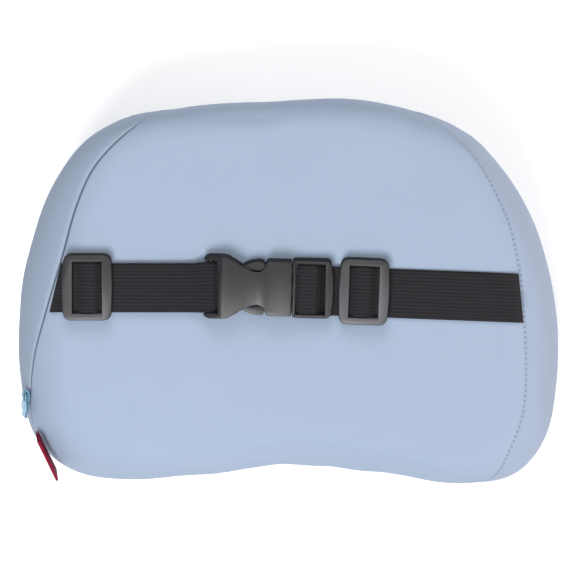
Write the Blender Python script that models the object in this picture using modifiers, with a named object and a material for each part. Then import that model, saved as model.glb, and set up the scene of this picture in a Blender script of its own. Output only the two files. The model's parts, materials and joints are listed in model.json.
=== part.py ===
"""Travel neck pillow: a bean-shaped foam pillow in a sewn cover, with an elastic strap and a
side-release buckle across its back.

The pillow lies on its front, so the strap faces +Z. +X is the photograph's right and +Y its top.
Sizes are in millimetres and are turned into metres where a mesh or a curve is made.
"""

import math

import bmesh
import bpy
from mathutils import Matrix, Vector

MM = 0.001

# Pillow: overall size and the heights of its rim and its back above the surface it lies on
PILLOW_WIDTH = 285.0
PILLOW_HEIGHT = 203.2
PILLOW_DEPTH = 95.0
RIM_LEVEL = 48.0
# How far in from the rim the back and the front start to curve, at the sides and at the ends
BACK_ROUND_SIDE = 32.0
BACK_ROUND_END = 20.0
FRONT_ROUND_SIDE = 45.0
FRONT_ROUND_END = 30.0
# The front: two lobes with a hollow for the neck between them
LOBE_OFFSET = 85.0
HOLLOW_DEPTH = 28.0
LOBE_RISE = 10.0
LOBE_REACH = 70.0
LOBE_FLAT = 2.0
# Outline as shares of the half width and the half height, anticlockwise from the right
OUTLINE = (
    (0.982, 0.005), (0.942, 0.236), (0.880, 0.452), (0.793, 0.644), (0.685, 0.806),
    (0.542, 0.904), (0.396, 0.956), (0.130, 0.997), (-0.117, 0.976), (-0.383, 0.947),
    (-0.543, 0.920), (-0.698, 0.832), (-0.818, 0.671), (-0.902, 0.467), (-0.955, 0.242),
    (-0.990, 0.005), (-1.000, -0.244), (-0.989, -0.503), (-0.940, -0.760), (-0.795, -0.937),
    (-0.583, -0.977), (-0.389, -0.951), (-0.110, -0.905), (0.118, -0.895), (0.394, -0.942),
    (0.602, -0.994), (0.821, -0.957), (0.949, -0.760), (0.991, -0.499), (0.999, -0.241),
)
# Rear seam: direction in degrees and how far in from the rim it runs; below zero is past the rim
REAR_SEAM = (
    (-50, -4.0), (-44, 2.5), (-39, 12.0), (-33, 18.2), (-20, 21.3), (-7, 21.8), (5, 19.5), (18, 16.0),
    (30, 13.0), (49, 6.0), (62, -4.0), (90, -9.0), (115, -4.0), (134, 10.2), (150, 17.5),
    (170, 21.8), (184, 18.5), (195, 11.5), (209, 3.0), (222, -5.0), (270, -9.0),
)
PAST_RIM_SLOPE = 1.3
FRONT_SEAM_TILT = 145.0

# Cover and foam
FABRIC = 1.2
COVER_GAP = 0.4
SEAM_GAP = 0.8
ZIP_RECESS = 3.2
ZIP_LAND = 8.0
COLUMNS = 54

# Zip down the left rear seam
ZIP_START = 130.0
ZIP_END = 203.0
TAPE_WIDTH = 3.0
TAPE_THICKNESS = 0.5
COIL_WIDTH = 1.5
COIL_HEIGHT = 1.6
SLIDER_DIRECTION = 201.6
SLIDER_LENGTH = 7.6
SLIDER_WIDTH = 5.0
SLIDER_PLATE = 1.0
BAIL_LENGTH = 4.4
BAIL_THICKNESS = 1.3
BAIL_HEIGHT = 2.4
BAIL_WIRE = 0.9
PULL_LENGTH = 12.6
PULL_WIDTH = 7.4
PULL_THICKNESS = 1.0
PULL_PIN = 0.45
PULL_CLEARANCE = 0.4

# Elastic strap, in two lengths
STRAP_WIDTH = 25.0
STRAP_THICKNESS = 1.2
STRAP_GAP = 0.3
DRAPE_REACH = 28.0
DRAPE_STEP = 4.0
LEFT_STRAP_Y = 1.7
LEFT_STRAP_END = 117.7
LEFT_END_SLANT = -13.4
RIGHT_STRAP_Y = 0.9
RIGHT_STRAP_TURN = -2.2
RIGHT_STRAP_END = 117.2
RIGHT_END_SLANT = 5.4

# Slides: the frame with two bars over the strap and one bar in the middle that carries its end
SLIDE_LENGTH = 24.6
SLIDE_WIDTH = 33.0
SLIDE_WINDOW = 15.2
SLIDE_CORNER = 4.0
SLIDE_BOW = 0.5
SLIDE_EDGE = 1.1
SLIDE_TOP_ABOVE_BARS = 2.8
SLIDE_SIDE_CLEARANCE = 0.75
MIDDLE_BAR_LENGTH = 4.2
MIDDLE_BAR_HEIGHT = 1.6
LEFT_SLIDE_X = 102.0
RIGHT_SLIDE_X = 38.1

# Buckle: the socket on the left, the plug on the right, both on one axis
BUCKLE_MOUTH_X = 1.5
BUCKLE_Y = 0.9
BUCKLE_TURN = -1.24
SOCKET_LENGTH = 44.6
SOCKET_MOUTH_WIDTH = 27.4
SOCKET_END_WIDTH = 31.2
SOCKET_WAIST = 16.6
SOCKET_HEIGHT = 9.4
SOCKET_WALL = 1.8
SOCKET_SIDE_WALL = 1.7
SOCKET_FORK = 7.6
FORK_OPENING = 26.2
PLUG_LENGTH = 21.0
PLUG_WIDTH = 28.8
PLUG_FLANGE = 1.5
PLUG_END_BAR = 3.8
PLUG_RAIL = 1.4
TONGUE_WIDTH = 4.6
TONGUE_LENGTH = 24.0
PRONG_HEIGHT = 4.0
PRONG_REACH = 27.2
MATING_GAP = 0.4
LOOP_BAR_LENGTH = 3.0
LOOP_BAR_HEIGHT = 2.6
FRAME_FOOT = 0.3
LOOP_SLACK = 0.35
SOCKET_LOOP_X = 39.2
PLUG_LOOP_X = 7.3
PLUG_LOOP_EXTRA = 4.4

# Folded label in the lower left corner of the seam
TAG_START = 209.0
TAG_START_TILT = 52.0
TAG_LIFT = 2.0
TAG_END = 219.2
TAG_OVERHANG = 4.9
TAG_END_RISE = 18.0
TAG_HEIGHT = 13.0
TAG_PLY = 0.45
TAG_FOLD_GAP = 0.4

BACK_LEVEL = PILLOW_DEPTH
LOW = BACK_LEVEL + STRAP_GAP + STRAP_THICKNESS / 2
STEP = STRAP_THICKNESS + STRAP_GAP
MIDDLE_BAR_LEVEL = LOW + STRAP_THICKNESS / 2 + STRAP_GAP
BAR_RADIUS = LOOP_BAR_HEIGHT / 2
LOOP_RADIUS = BAR_RADIUS + STRAP_GAP + STRAP_THICKNESS / 2
LOOP_LEVEL = LOW + LOOP_RADIUS
END_RADIUS = MIDDLE_BAR_HEIGHT / 2 + STRAP_GAP + STRAP_THICKNESS / 2
OVER = LOW + 2 * END_RADIUS + STEP
OUTER_BAR_LEVEL = LOW + STEP + STRAP_THICKNESS / 2 + 2.7 * STRAP_GAP


for old in list(bpy.data.objects):
    bpy.data.objects.remove(old, do_unlink=True)

PART = bpy.data.collections.new("travel_neck_pillow")
CUTTERS = bpy.data.collections.new("cutters")
bpy.context.scene.collection.children.link(PART)
bpy.context.scene.collection.children.link(CUTTERS)


def material(name, colour, roughness, metallic=0.0):
    made = bpy.data.materials.new(name)
    made.use_nodes = True
    shader = made.node_tree.nodes["Principled BSDF"]
    shader.inputs["Base Color"].default_value = (*colour, 1.0)
    shader.inputs["Roughness"].default_value = roughness
    shader.inputs["Metallic"].default_value = metallic
    return made


def add_object(name, mesh, look, parent=None):
    """A piece of the pillow, in the part's collection."""
    made = bpy.data.objects.new(name, mesh)
    PART.objects.link(made)
    made.data.materials.clear()
    made.data.materials.append(look)
    made.parent = parent
    return made


def smooth(piece, angle=40.0):
    piece.data.shade_smooth()
    piece.data.set_sharp_from_angle(angle=math.radians(angle))


def empty(name, place, turn=0.0):
    made = bpy.data.objects.new(name, None)
    PART.objects.link(made)
    made.location = Vector(place) * MM
    made.rotation_euler = (0.0, 0.0, math.radians(turn))
    return made


def box_mesh(name, low, high):
    bm = bmesh.new()
    bmesh.ops.create_cube(bm, size=1.0)
    size = [(b - a) * MM for a, b in zip(low, high)]
    middle = [(a + b) * 0.5 * MM for a, b in zip(low, high)]
    bmesh.ops.scale(bm, verts=bm.verts, vec=size)
    bmesh.ops.translate(bm, verts=bm.verts, vec=middle)
    mesh = bpy.data.meshes.new(name)
    bm.to_mesh(mesh)
    bm.free()
    return mesh


def plate_mesh(name, outline, low, high):
    """A flat outline in XY, filled and given its height from low to high."""
    curve = bpy.data.curves.new(name, "CURVE")
    curve.dimensions = "2D"
    curve.fill_mode = "BOTH"
    curve.extrude = (high - low) / 2 * MM
    spline = curve.splines.new("POLY")
    spline.points.add(len(outline) - 1)
    for point, (x, y) in zip(spline.points, outline):
        point.co = (x * MM, y * MM, 0.0, 1.0)
    spline.use_cyclic_u = True
    holder = bpy.data.objects.new(name, curve)
    CUTTERS.objects.link(holder)
    bpy.context.view_layer.update()
    depsgraph = bpy.context.evaluated_depsgraph_get()
    mesh = bpy.data.meshes.new_from_object(holder.evaluated_get(depsgraph))
    bpy.data.objects.remove(holder, do_unlink=True)
    bm = bmesh.new()
    bm.from_mesh(mesh)
    bmesh.ops.remove_doubles(bm, verts=bm.verts, dist=0.000001)
    bmesh.ops.translate(bm, verts=bm.verts, vec=(0.0, 0.0, (low + high) / 2 * MM))
    bmesh.ops.recalc_face_normals(bm, faces=bm.faces)
    bm.to_mesh(mesh)
    bm.free()
    return mesh


def tool(name, mesh, parent=None):
    """A guide shape for a Boolean, kept out of the part."""
    made = bpy.data.objects.new(name, mesh)
    CUTTERS.objects.link(made)
    made.parent = parent
    made.hide_render = True
    made.display_type = "WIRE"
    return made


def boolean(piece, other, operation):
    step = piece.modifiers.new(other.name, "BOOLEAN")
    step.operation = operation
    step.solver = "EXACT"
    step.object = other


def bevel(piece, width, segments=2, angle=40.0):
    step = piece.modifiers.new("rounded edges", "BEVEL")
    step.width = width * MM
    step.segments = segments
    step.limit_method = "ANGLE"
    step.angle_limit = math.radians(angle)


def smooth_closed(knots, period, at):
    """Value at a position on a smooth closed curve through (position, value) pairs."""
    count = len(knots)
    at = (at - knots[0][0]) % period + knots[0][0]
    index = max(k for k in range(count) if knots[k][0] <= at)

    def knot(k):
        turns, k = divmod(k, count)
        return knots[k][0] + turns * period, knots[k][1]

    (p0, v0), (p1, v1), (p2, v2), (p3, v3) = (knot(index + k) for k in (-1, 0, 1, 2))
    span = p2 - p1
    slope1 = (v2 - v0) / (p2 - p0)
    slope2 = (v3 - v1) / (p3 - p1)
    s = (at - p1) / span
    return (
        (2 * s**3 - 3 * s**2 + 1) * v1
        + (s**3 - 2 * s**2 + s) * span * slope1
        + (3 * s**2 - 2 * s**3) * v2
        + (s**3 - s**2) * span * slope2
    )


def polar(points):
    found = []
    for x, y in points:
        x = x * PILLOW_WIDTH / 2
        y = y * PILLOW_HEIGHT / 2
        found.append((math.degrees(math.atan2(y, x)) % 360.0, math.hypot(x, y)))
    return sorted(found)


RIM = polar(OUTLINE)


def rim_radius(direction):
    return smooth_closed(RIM, 360.0, direction)


def blend_round(direction, side, end):
    return end + (side - end) * math.cos(math.radians(direction)) ** 2


def knot_tilt(direction, inset):
    """The tilt round the edge at which a point lies this far in from the rim."""
    if inset <= 0.0:
        return 90.0 - inset * PAST_RIM_SLOPE
    share = inset / blend_round(direction, BACK_ROUND_SIDE, BACK_ROUND_END)
    return math.degrees(math.asin(max(0.05, 1.0 - share)))


SEAM_KNOTS = [(direction, knot_tilt(direction, inset)) for direction, inset in REAR_SEAM]


def seam_tilt(direction):
    """Where the rear seam runs round the edge: 0 is the back's flat, 90 is the rim."""
    return smooth_closed(SEAM_KNOTS, 360.0, direction)


def front_level(x, y):
    """Height of the front above the surface the pillow lies on."""
    hollow = 0.0
    if abs(x) < LOBE_OFFSET:
        hollow = HOLLOW_DEPTH * 0.5 * (1.0 + math.cos(math.pi * x / LOBE_OFFSET))
    return max(0.0, hollow + LOBE_RISE * (y / LOBE_REACH) ** 2 - LOBE_FLAT)


def edge_point(direction, tilt):
    """A point on the pillow's rounded edge."""
    a = math.radians(direction)
    t = math.radians(tilt)
    if tilt <= 90.0:
        r = rim_radius(direction)
        r -= blend_round(direction, BACK_ROUND_SIDE, BACK_ROUND_END) * (1.0 - math.sin(t))
        z = RIM_LEVEL + (BACK_LEVEL - RIM_LEVEL) * math.cos(t)
        return Vector((r * math.cos(a), r * math.sin(a), z))
    r = rim_radius(direction)
    r -= blend_round(direction, FRONT_ROUND_SIDE, FRONT_ROUND_END) * (1.0 - math.sin(t))
    x = r * math.cos(a)
    y = r * math.sin(a)
    z = RIM_LEVEL + (RIM_LEVEL - front_level(x, y)) * math.cos(t)
    return Vector((x, y, z))


def front_point(direction, share):
    """A point on the front inside its rounded edge; a share of 1 is where the edge ends."""
    a = math.radians(direction)
    r = rim_radius(direction) - blend_round(direction, FRONT_ROUND_SIDE, FRONT_ROUND_END)
    x = r * share * math.cos(a)
    y = r * share * math.sin(a)
    return Vector((x, y, front_level(x, y)))


def back_level(x, y):
    """Height of the back at a place, for the strap that follows it."""
    direction = math.degrees(math.atan2(y, x))
    inset = rim_radius(direction) - math.hypot(x, y)
    share = 1.0 - inset / blend_round(direction, BACK_ROUND_SIDE, BACK_ROUND_END)
    if share <= 0.0:
        return BACK_LEVEL
    return RIM_LEVEL + (BACK_LEVEL - RIM_LEVEL) * math.sqrt(max(0.0, 1.0 - share**2))


def outward(direction, tilt):
    """Direction square to the pillow's surface at its rounded edge."""
    along = edge_point(direction + 0.5, tilt) - edge_point(direction - 0.5, tilt)
    down = edge_point(direction, tilt + 0.5) - edge_point(direction, tilt - 0.5)
    return down.cross(along).normalized()


DIRECTIONS = [360.0 * k / COLUMNS for k in range(COLUMNS)]
BACK_STEPS = (0.0, 0.2, 0.4, 0.6, 0.8, 1.0)
BAND_STEPS = (0.0, 0.17, 0.34, 0.5, 0.67, 0.84, 1.0)
FRONT_TILTS = (157.0, 169.0, 180.0)
FRONT_SHARES = (0.85, 0.7, 0.55, 0.4, 0.25, 0.12)


def gap_tilt(direction, seam):
    """The tilt that half of a seam's gap takes up, measured square to the seam."""
    tilt = seam(direction)
    down = edge_point(direction, tilt + 0.5) - edge_point(direction, tilt - 0.5)
    before = edge_point(direction - 1.0, seam(direction - 1.0))
    along = (edge_point(direction + 1.0, seam(direction + 1.0)) - before).normalized()
    return SEAM_GAP / 2 / down.cross(along).length


def front_seam(direction):
    return FRONT_SEAM_TILT


def back_rings():
    rings = []
    for share in BACK_STEPS:
        ring = []
        for d in DIRECTIONS:
            ring.append(edge_point(d, (seam_tilt(d) - ZIP_LAND) * share))
        rings.append(ring)
    return rings


def seam_ring(side):
    """The rear seam's ring, or one edge of its gap."""
    ring = []
    for d in DIRECTIONS:
        ring.append(edge_point(d, seam_tilt(d) + side * gap_tilt(d, seam_tilt)))
    return ring


def band_rings(last):
    rings = []
    for share in BAND_STEPS:
        ring = []
        for d in DIRECTIONS:
            start = seam_tilt(d) + ZIP_LAND
            ring.append(edge_point(d, start + (last(d) - start) * share))
        rings.append(ring)
    return rings


def front_rings():
    rings = [[edge_point(d, tilt) for d in DIRECTIONS] for tilt in FRONT_TILTS]
    rings += [[front_point(d, share) for d in DIRECTIONS] for share in FRONT_SHARES]
    return rings


def ring_surface(bm, rings, cap_first=False, point_last=None):
    """Skin over rings that all have one point for each direction."""
    loops = [[bm.verts.new(p * MM) for p in ring] for ring in rings]
    count = len(loops[0])
    for upper, lower in zip(loops, loops[1:]):
        for k in range(count):
            m = (k + 1) % count
            bm.faces.new((upper[k], lower[k], lower[m], upper[m]))
    if cap_first:
        bm.faces.new(loops[0])
    if point_last is not None:
        tip = bm.verts.new(point_last * MM)
        for k in range(count):
            bm.faces.new((loops[-1][k], tip, loops[-1][(k + 1) % count]))
    quads = [face for face in bm.faces if len(face.verts) == 4]
    bmesh.ops.triangulate(bm, faces=quads, quad_method="FIXED")
    return loops


def finish_mesh(bm, name):
    mesh = bpy.data.meshes.new(name)
    bm.to_mesh(mesh)
    bm.free()
    return mesh


def fabric_panel(name, rings, look, cap_first=False, point_last=None):
    bm = bmesh.new()
    ring_surface(bm, rings, cap_first, point_last)
    panel = add_object(name, finish_mesh(bm, name), look)
    shell = panel.modifiers.new("fabric", "SOLIDIFY")
    shell.thickness = FABRIC * MM
    shell.offset = -1.0
    smooth(panel)
    return panel


def foam(look):
    """The foam inside the cover, with a recess under the zip."""
    bm = bmesh.new()
    rings = back_rings() + [seam_ring(0.0)] + band_rings(front_seam) + front_rings()
    centre = Vector((0.0, 0.0, front_level(0.0, 0.0)))
    loops = ring_surface(bm, rings, cap_first=True, point_last=centre)
    bm.normal_update()
    inset = (FABRIC + COVER_GAP) * MM
    seam = set(loops[len(BACK_STEPS)])
    moves = []
    for k, d in enumerate(DIRECTIONS):
        if ZIP_START - 8.0 <= d <= ZIP_END + 8.0:
            moves.append((loops[len(BACK_STEPS)][k], ZIP_RECESS * MM))
    deeper = {vert: extra for vert, extra in moves if vert in seam}
    places = [(vert, vert.co - vert.normal * (inset + deeper.get(vert, 0.0))) for vert in bm.verts]
    for vert, place in places:
        vert.co = place
    piece = add_object("foam_core", finish_mesh(bm, "foam_core"), look)
    smooth(piece)
    return piece


def loft(name, sections):
    """Closed solid through sections with equal counts of points, closed at both ends."""
    bm = bmesh.new()
    loops = [[bm.verts.new(p * MM) for p in section] for section in sections]
    count = len(loops[0])
    for first, second in zip(loops, loops[1:]):
        for k in range(count):
            m = (k + 1) % count
            bm.faces.new((first[k], first[m], second[m], second[k]))
    bm.faces.new(list(reversed(loops[0])))
    bm.faces.new(loops[-1])
    bmesh.ops.recalc_face_normals(bm, faces=bm.faces)
    return finish_mesh(bm, name)


def zip_tape(name, side, look):
    """One tape of the zip with its half of the coil, under the edge of its panel."""
    top = FABRIC + COVER_GAP + STRAP_GAP
    edge = SEAM_GAP / 2 - 0.1
    profile = (
        (edge, top), (TAPE_WIDTH, top), (TAPE_WIDTH, top + TAPE_THICKNESS),
        (COIL_WIDTH, top + TAPE_THICKNESS), (COIL_WIDTH, top + COIL_HEIGHT),
        (edge, top + COIL_HEIGHT),
    )
    sections = []
    for d in DIRECTIONS:
        if ZIP_START <= d <= ZIP_END:
            tilt = seam_tilt(d)
            place = edge_point(d, tilt)
            normal = outward(d, tilt)
            across = (edge_point(d, tilt + 0.5) - edge_point(d, tilt - 0.5)).normalized()
            sections.append([place + across * side * a - normal * depth for a, depth in profile])
    return add_object(name, loft(name, sections), look)


def seam_seat(name, direction, lift):
    """An empty on the rear seam: X across it, Y back up along it and Z out of the fabric."""
    tilt = seam_tilt(direction)
    normal = outward(direction, tilt)
    along = edge_point(direction - 0.5, seam_tilt(direction - 0.5))
    along = (along - edge_point(direction + 0.5, seam_tilt(direction + 0.5))).normalized()
    across = along.cross(normal).normalized()
    normal = across.cross(along).normalized()
    place = edge_point(direction, tilt) + normal * lift
    made = bpy.data.objects.new(name, None)
    PART.objects.link(made)
    frame = Matrix((across, along, normal)).transposed().to_4x4()
    made.matrix_world = Matrix.Translation(place * MM) @ frame
    return made


def zip_slider(seat, look):
    """The slider's plate and the bail that holds the pull, with the pull's pin at the seat."""
    half_l = SLIDER_LENGTH / 2
    half_w = SLIDER_WIDTH / 2
    foot = half_l - BAIL_LENGTH / 2
    top = -(PULL_PIN + PULL_CLEARANCE)
    outline = (
        (-half_w * 0.6, -half_l), (half_w * 0.6, -half_l), (half_w * 0.9, -half_l * 0.3),
        (half_w, half_l * 0.6), (half_w * 0.6, half_l), (-half_w * 0.6, half_l),
        (-half_w, half_l * 0.6), (-half_w * 0.9, -half_l * 0.3),
    )
    outline = [(x, y - foot) for x, y in outline]
    slider = add_object(
        "zip_slider", plate_mesh("zip_slider", outline, top - SLIDER_PLATE, top), look, seat
    )
    bevel(slider, 0.25, 1)
    half_b = BAIL_THICKNESS / 2
    arch = plate_mesh("bail", bail_outline(top), -half_b, half_b)
    turn = Matrix(((0, 0, 1), (1, 0, 0), (0, 1, 0))).to_4x4()
    arch.transform(turn)
    boolean(slider, tool("bail", arch, seat), "UNION")
    return slider


def bail_outline(top):
    """The bail seen from its side, as one closed arch: along the seam, then out of the fabric."""
    half = BAIL_LENGTH / 2
    crest = top + BAIL_HEIGHT
    inner = half - BAIL_WIRE
    points = [(-half, top - 0.3), (-half, crest - 0.9), (-half + 0.9, crest), (half - 0.9, crest)]
    points += [(half, crest - 0.9), (half, top - 0.3), (inner, top - 0.3), (inner, crest - 1.2)]
    points += [(inner - 0.4, crest - 0.7), (0.4 - inner, crest - 0.7), (-inner, crest - 1.2)]
    points += [(-inner, top - 0.3)]
    return points


def pull_outline():
    """Teardrop tab that hangs down the seam: narrow at the pin, with a waist near its foot."""
    widths = (
        (0.9, 0.30), (-1.4, 0.36), (-3.6, 0.62), (-5.6, 0.92), (-7.2, 1.0), (-8.6, 0.88),
        (-9.8, 0.62), (-10.8, 0.55), (-11.8, 0.80), (-12.6, 0.72),
    )
    stretch = PULL_LENGTH / 12.6
    right = [(PULL_WIDTH / 2 * w, y * stretch) for y, w in widths]
    return right + [(-x, y) for x, y in reversed(right)]


def zip_pull(seat, look):
    """The pull, turning on the pin that passes through the slider's bail."""
    half = PULL_THICKNESS / 2
    pull = add_object("zip_pull", plate_mesh("zip_pull", pull_outline(), -half, half), look, seat)
    inner = BAIL_THICKNESS / 2 + PULL_CLEARANCE
    reach = math.hypot(BAIL_LENGTH / 2, BAIL_HEIGHT) + PULL_CLEARANCE
    eye = box_mesh("pull_eye", (-inner, -reach, -2.0), (inner, 1.6, 2.0))
    boolean(pull, tool("pull_eye", eye, seat), "DIFFERENCE")
    legs = PULL_WIDTH / 2 * 0.62
    for side in (-1, 1):
        low, high = sorted((side * inner, side * legs))
        leg = box_mesh("pull_leg", (low, -reach - 0.4, -half), (high, PULL_PIN, half))
        boolean(pull, tool(f"pull_leg_{side}", leg, seat), "UNION")
    bm = bmesh.new()
    bmesh.ops.create_cone(
        bm, cap_ends=True, segments=10, radius1=PULL_PIN * MM, radius2=PULL_PIN * MM,
        depth=2 * (inner + 0.3) * MM,
    )
    bmesh.ops.rotate(bm, verts=bm.verts, matrix=Matrix.Rotation(math.pi / 2, 3, "Y"))
    boolean(pull, tool("pull_pin", finish_mesh(bm, "pull_pin"), seat), "UNION")
    return pull


def strap_route(bar, loop, extra, end, level):
    """Middle line of one strap, from its seam inwards, as distances from the pillow's middle.

    It goes under the slide's outer bar, over the middle bar, under the inner bar, round the
    buckle's bar, back along the pillow and round the slide's middle bar, where it is sewn.
    """
    ply = STRAP_THICKNESS
    half_slide = SLIDE_LENGTH / 2
    half_window = SLIDE_WINDOW / 2
    second = LOW + STEP
    crest = LOOP_LEVEL + LOOP_RADIUS
    top = LOW + 2 * END_RADIUS
    far = loop + extra
    route = [(end + DRAPE_STEP, level(end + DRAPE_STEP))]
    place = end
    while place > max(bar + half_slide + ply, end - DRAPE_REACH):
        route.append((place, level(place)))
        place -= DRAPE_STEP
    if end - bar > 2.4 * SLIDE_LENGTH:
        route += [(bar + 3.0 * half_slide, LOW), (bar + 1.7 * half_slide, LOW)]
    route += [(bar + half_slide, level(bar + half_slide)), (bar + 1.1 * half_window, LOW + ply / 2)]
    route += [(bar + 0.55 * half_window, OVER - 1.15 * ply), (bar, OVER)]
    route += [(bar - 0.51 * half_window, OVER - ply / 2), (bar - 0.91 * half_window, second + 0.6 * ply)]
    route += [(bar - 1.24 * half_window, second)]
    if bar - far > 1.6 * SLIDE_LENGTH:
        route += [(bar - 1.7 * half_slide, second), (far + 1.3 * half_slide, second)]
    route += [(far + 4.5 * ply, second), (far + 3.4 * ply, second + 0.4 * ply)]
    route += [(far + 2.8 * ply, second + 1.2 * ply), (far + 2.3 * ply, crest - 0.5 * ply)]
    route += [(far + 1.3 * ply, crest)]
    if extra:
        route += [(loop + extra / 2, crest)]
    for k in range(7):
        a = math.pi / 2 + math.pi * k / 6
        route.append((loop + LOOP_RADIUS * math.cos(a), LOOP_LEVEL + LOOP_RADIUS * math.sin(a)))
    route += [(loop + 3.3 * ply, LOW)]
    if bar - far > 1.6 * SLIDE_LENGTH:
        route += [(far + 1.3 * half_slide, LOW), (bar - 1.7 * half_slide, LOW)]
    route += [(bar - half_slide / 2, LOW)]
    half = MIDDLE_BAR_LENGTH / 2 - MIDDLE_BAR_HEIGHT / 2
    for k in range(7):
        a = -math.pi / 2 + math.pi * k / 6
        route.append((
            bar + half + END_RADIUS * math.cos(a), LOW + END_RADIUS + END_RADIUS * math.sin(a)
        ))
    route += [(bar - half, top), (bar - half - 1.3 * ply, top - 0.4 * ply)]
    route += [(bar - half - 2.2 * ply, top - 0.9 * ply)]
    return route


def sample(route):
    """Points along a smooth line through the route, closer where it bends."""
    points = [Vector(p) for p in route]
    points = [points[0] * 2 - points[1]] + points + [points[-1] * 2 - points[-2]]
    found = []
    for p0, p1, p2, p3 in zip(points, points[1:], points[2:], points[3:]):
        length = (p2 - p1).length
        steps = 1 if length < 2.2 else (2 if length < 6.0 else 3)
        before = max((p1 - p0).length, 0.001)
        after = max((p3 - p2).length, 0.001)
        slope1 = ((p2 - p1) / length + (p1 - p0) / before) / 2 * length
        slope2 = ((p3 - p2) / after + (p2 - p1) / length) / 2 * length
        for k in range(steps):
            s = k / steps
            found.append(
                p1 * (2 * s**3 - 3 * s**2 + 1) + slope1 * (s**3 - 2 * s**2 + s)
                + p2 * (3 * s**2 - 2 * s**3) + slope2 * (s**3 - s**2)
            )
    found.append(points[-2])
    return found


def strap(name, side, bar, loop, extra, end, slant, seat, look):
    """One length of the elastic, shaped over the pillow's back where it nears the seam."""
    turn = seat.matrix_basis

    def lift(x, y):
        place = turn @ (Vector((side * x, y, 0.0)) * MM) / MM
        return back_level(place.x, place.y) - BACK_LEVEL

    def level(x):
        return LOW + lift(x, 0.0)

    line = sample(strap_route(bar, loop, extra, end, level))
    half = STRAP_WIDTH / 2
    sections = []
    last = len(line) - 1
    for k, p in enumerate(line):
        run = (line[min(k + 1, last)] - line[max(k - 1, 0)]).normalized()
        normal = Vector((-run.y, run.x)) * (STRAP_THICKNESS / 2)
        section = []
        for sign, across in ((1, (-half, 0.0, half)), (-1, (half, 0.0, -half))):
            for y in across:
                q = p + normal * sign
                shape = lift(q.x, y) - lift(q.x, 0.0)
                section.append(Vector((side * q.x, y, q.y + shape)))
        sections.append(section)
    piece = add_object(name, loft(name, sections), look, seat)
    reach = 20.0
    cutter = box_mesh(f"{name}_end", (0.0, -reach, -9.0), (reach, reach, 9.0))
    trim = tool(f"{name}_end", cutter)
    middle = turn @ (Vector((side * end, 0.0, LOW)) * MM)
    trim.location = middle
    heading = 0.0 if side > 0 else math.pi
    trim.rotation_euler = (0.0, 0.0, heading + math.radians(slant))
    boolean(piece, trim, "DIFFERENCE")
    smooth(piece, 50.0)
    return piece


def corner_outline(length, width, radius, steps=3):
    """A rectangle with round corners, centred on the origin."""
    points = []
    for k, (sx, sy) in enumerate(((1, 1), (-1, 1), (-1, -1), (1, -1))):
        for m in range(steps + 1):
            a = math.pi / 2 * (k + m / steps)
            x = sx * (length / 2 - radius) + radius * math.cos(a)
            y = sy * (width / 2 - radius) + radius * math.sin(a)
            points.append((x, y))
    return points


def slide_outline(place):
    """The slide from above: round corners, and ends that bow out a little."""
    points = []
    for x, y in corner_outline(SLIDE_LENGTH, SLIDE_WIDTH, SLIDE_CORNER):
        points.append((x, y))
    reach = SLIDE_WIDTH / 2 - SLIDE_CORNER
    bowed = []
    for k, (x, y) in enumerate(points):
        bowed.append((x, y))
        after = points[(k + 1) % len(points)]
        if abs(after[1] - y) > reach:
            side = 1.0 if x > 0.0 else -1.0
            way = 1.0 if after[1] > y else -1.0
            for share in (-0.5, 0.0, 0.5):
                bow = SLIDE_BOW * (1.0 - share**2 * 1.4)
                bowed.append((side * (SLIDE_LENGTH / 2 + bow), way * share * reach))
    return [(x + place, y) for x, y in bowed]


def slide(name, place, seat, look):
    """A three-bar slide: two bars over the strap and a lower bar between them."""
    top = OUTER_BAR_LEVEL + SLIDE_TOP_ABOVE_BARS
    foot = MIDDLE_BAR_LEVEL - FRAME_FOOT
    piece = add_object(name, plate_mesh(name, slide_outline(place), foot, top), look, seat)
    bevel(piece, SLIDE_EDGE, 2)
    half_y = STRAP_WIDTH / 2 + SLIDE_SIDE_CLEARANCE
    window = box_mesh(
        f"{name}_window", (place - SLIDE_WINDOW / 2, -half_y, MIDDLE_BAR_LEVEL - 2.0),
        (place + SLIDE_WINDOW / 2, half_y, top + 2.0),
    )
    boolean(piece, tool(f"{name}_window", window, seat), "DIFFERENCE")
    channel = box_mesh(
        f"{name}_channel", (place - SLIDE_LENGTH, -half_y, MIDDLE_BAR_LEVEL - 2.0),
        (place + SLIDE_LENGTH, half_y, OUTER_BAR_LEVEL),
    )
    boolean(piece, tool(f"{name}_channel", channel, seat), "DIFFERENCE")
    half_b = MIDDLE_BAR_LENGTH / 2
    bar = box_mesh(
        f"{name}_bar", (place - half_b, -half_y - 1.0, MIDDLE_BAR_LEVEL),
        (place + half_b, half_y + 1.0, MIDDLE_BAR_LEVEL + MIDDLE_BAR_HEIGHT),
    )
    rounded = tool(f"{name}_bar", bar, seat)
    bevel(rounded, 0.5, 1)
    boolean(piece, rounded, "UNION")
    smooth(piece)
    return piece


def mirrored(half):
    """A closed outline from its upper half, which runs from the mouth to the far end."""
    return half + [(x, -y) for x, y in reversed(half)]


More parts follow.
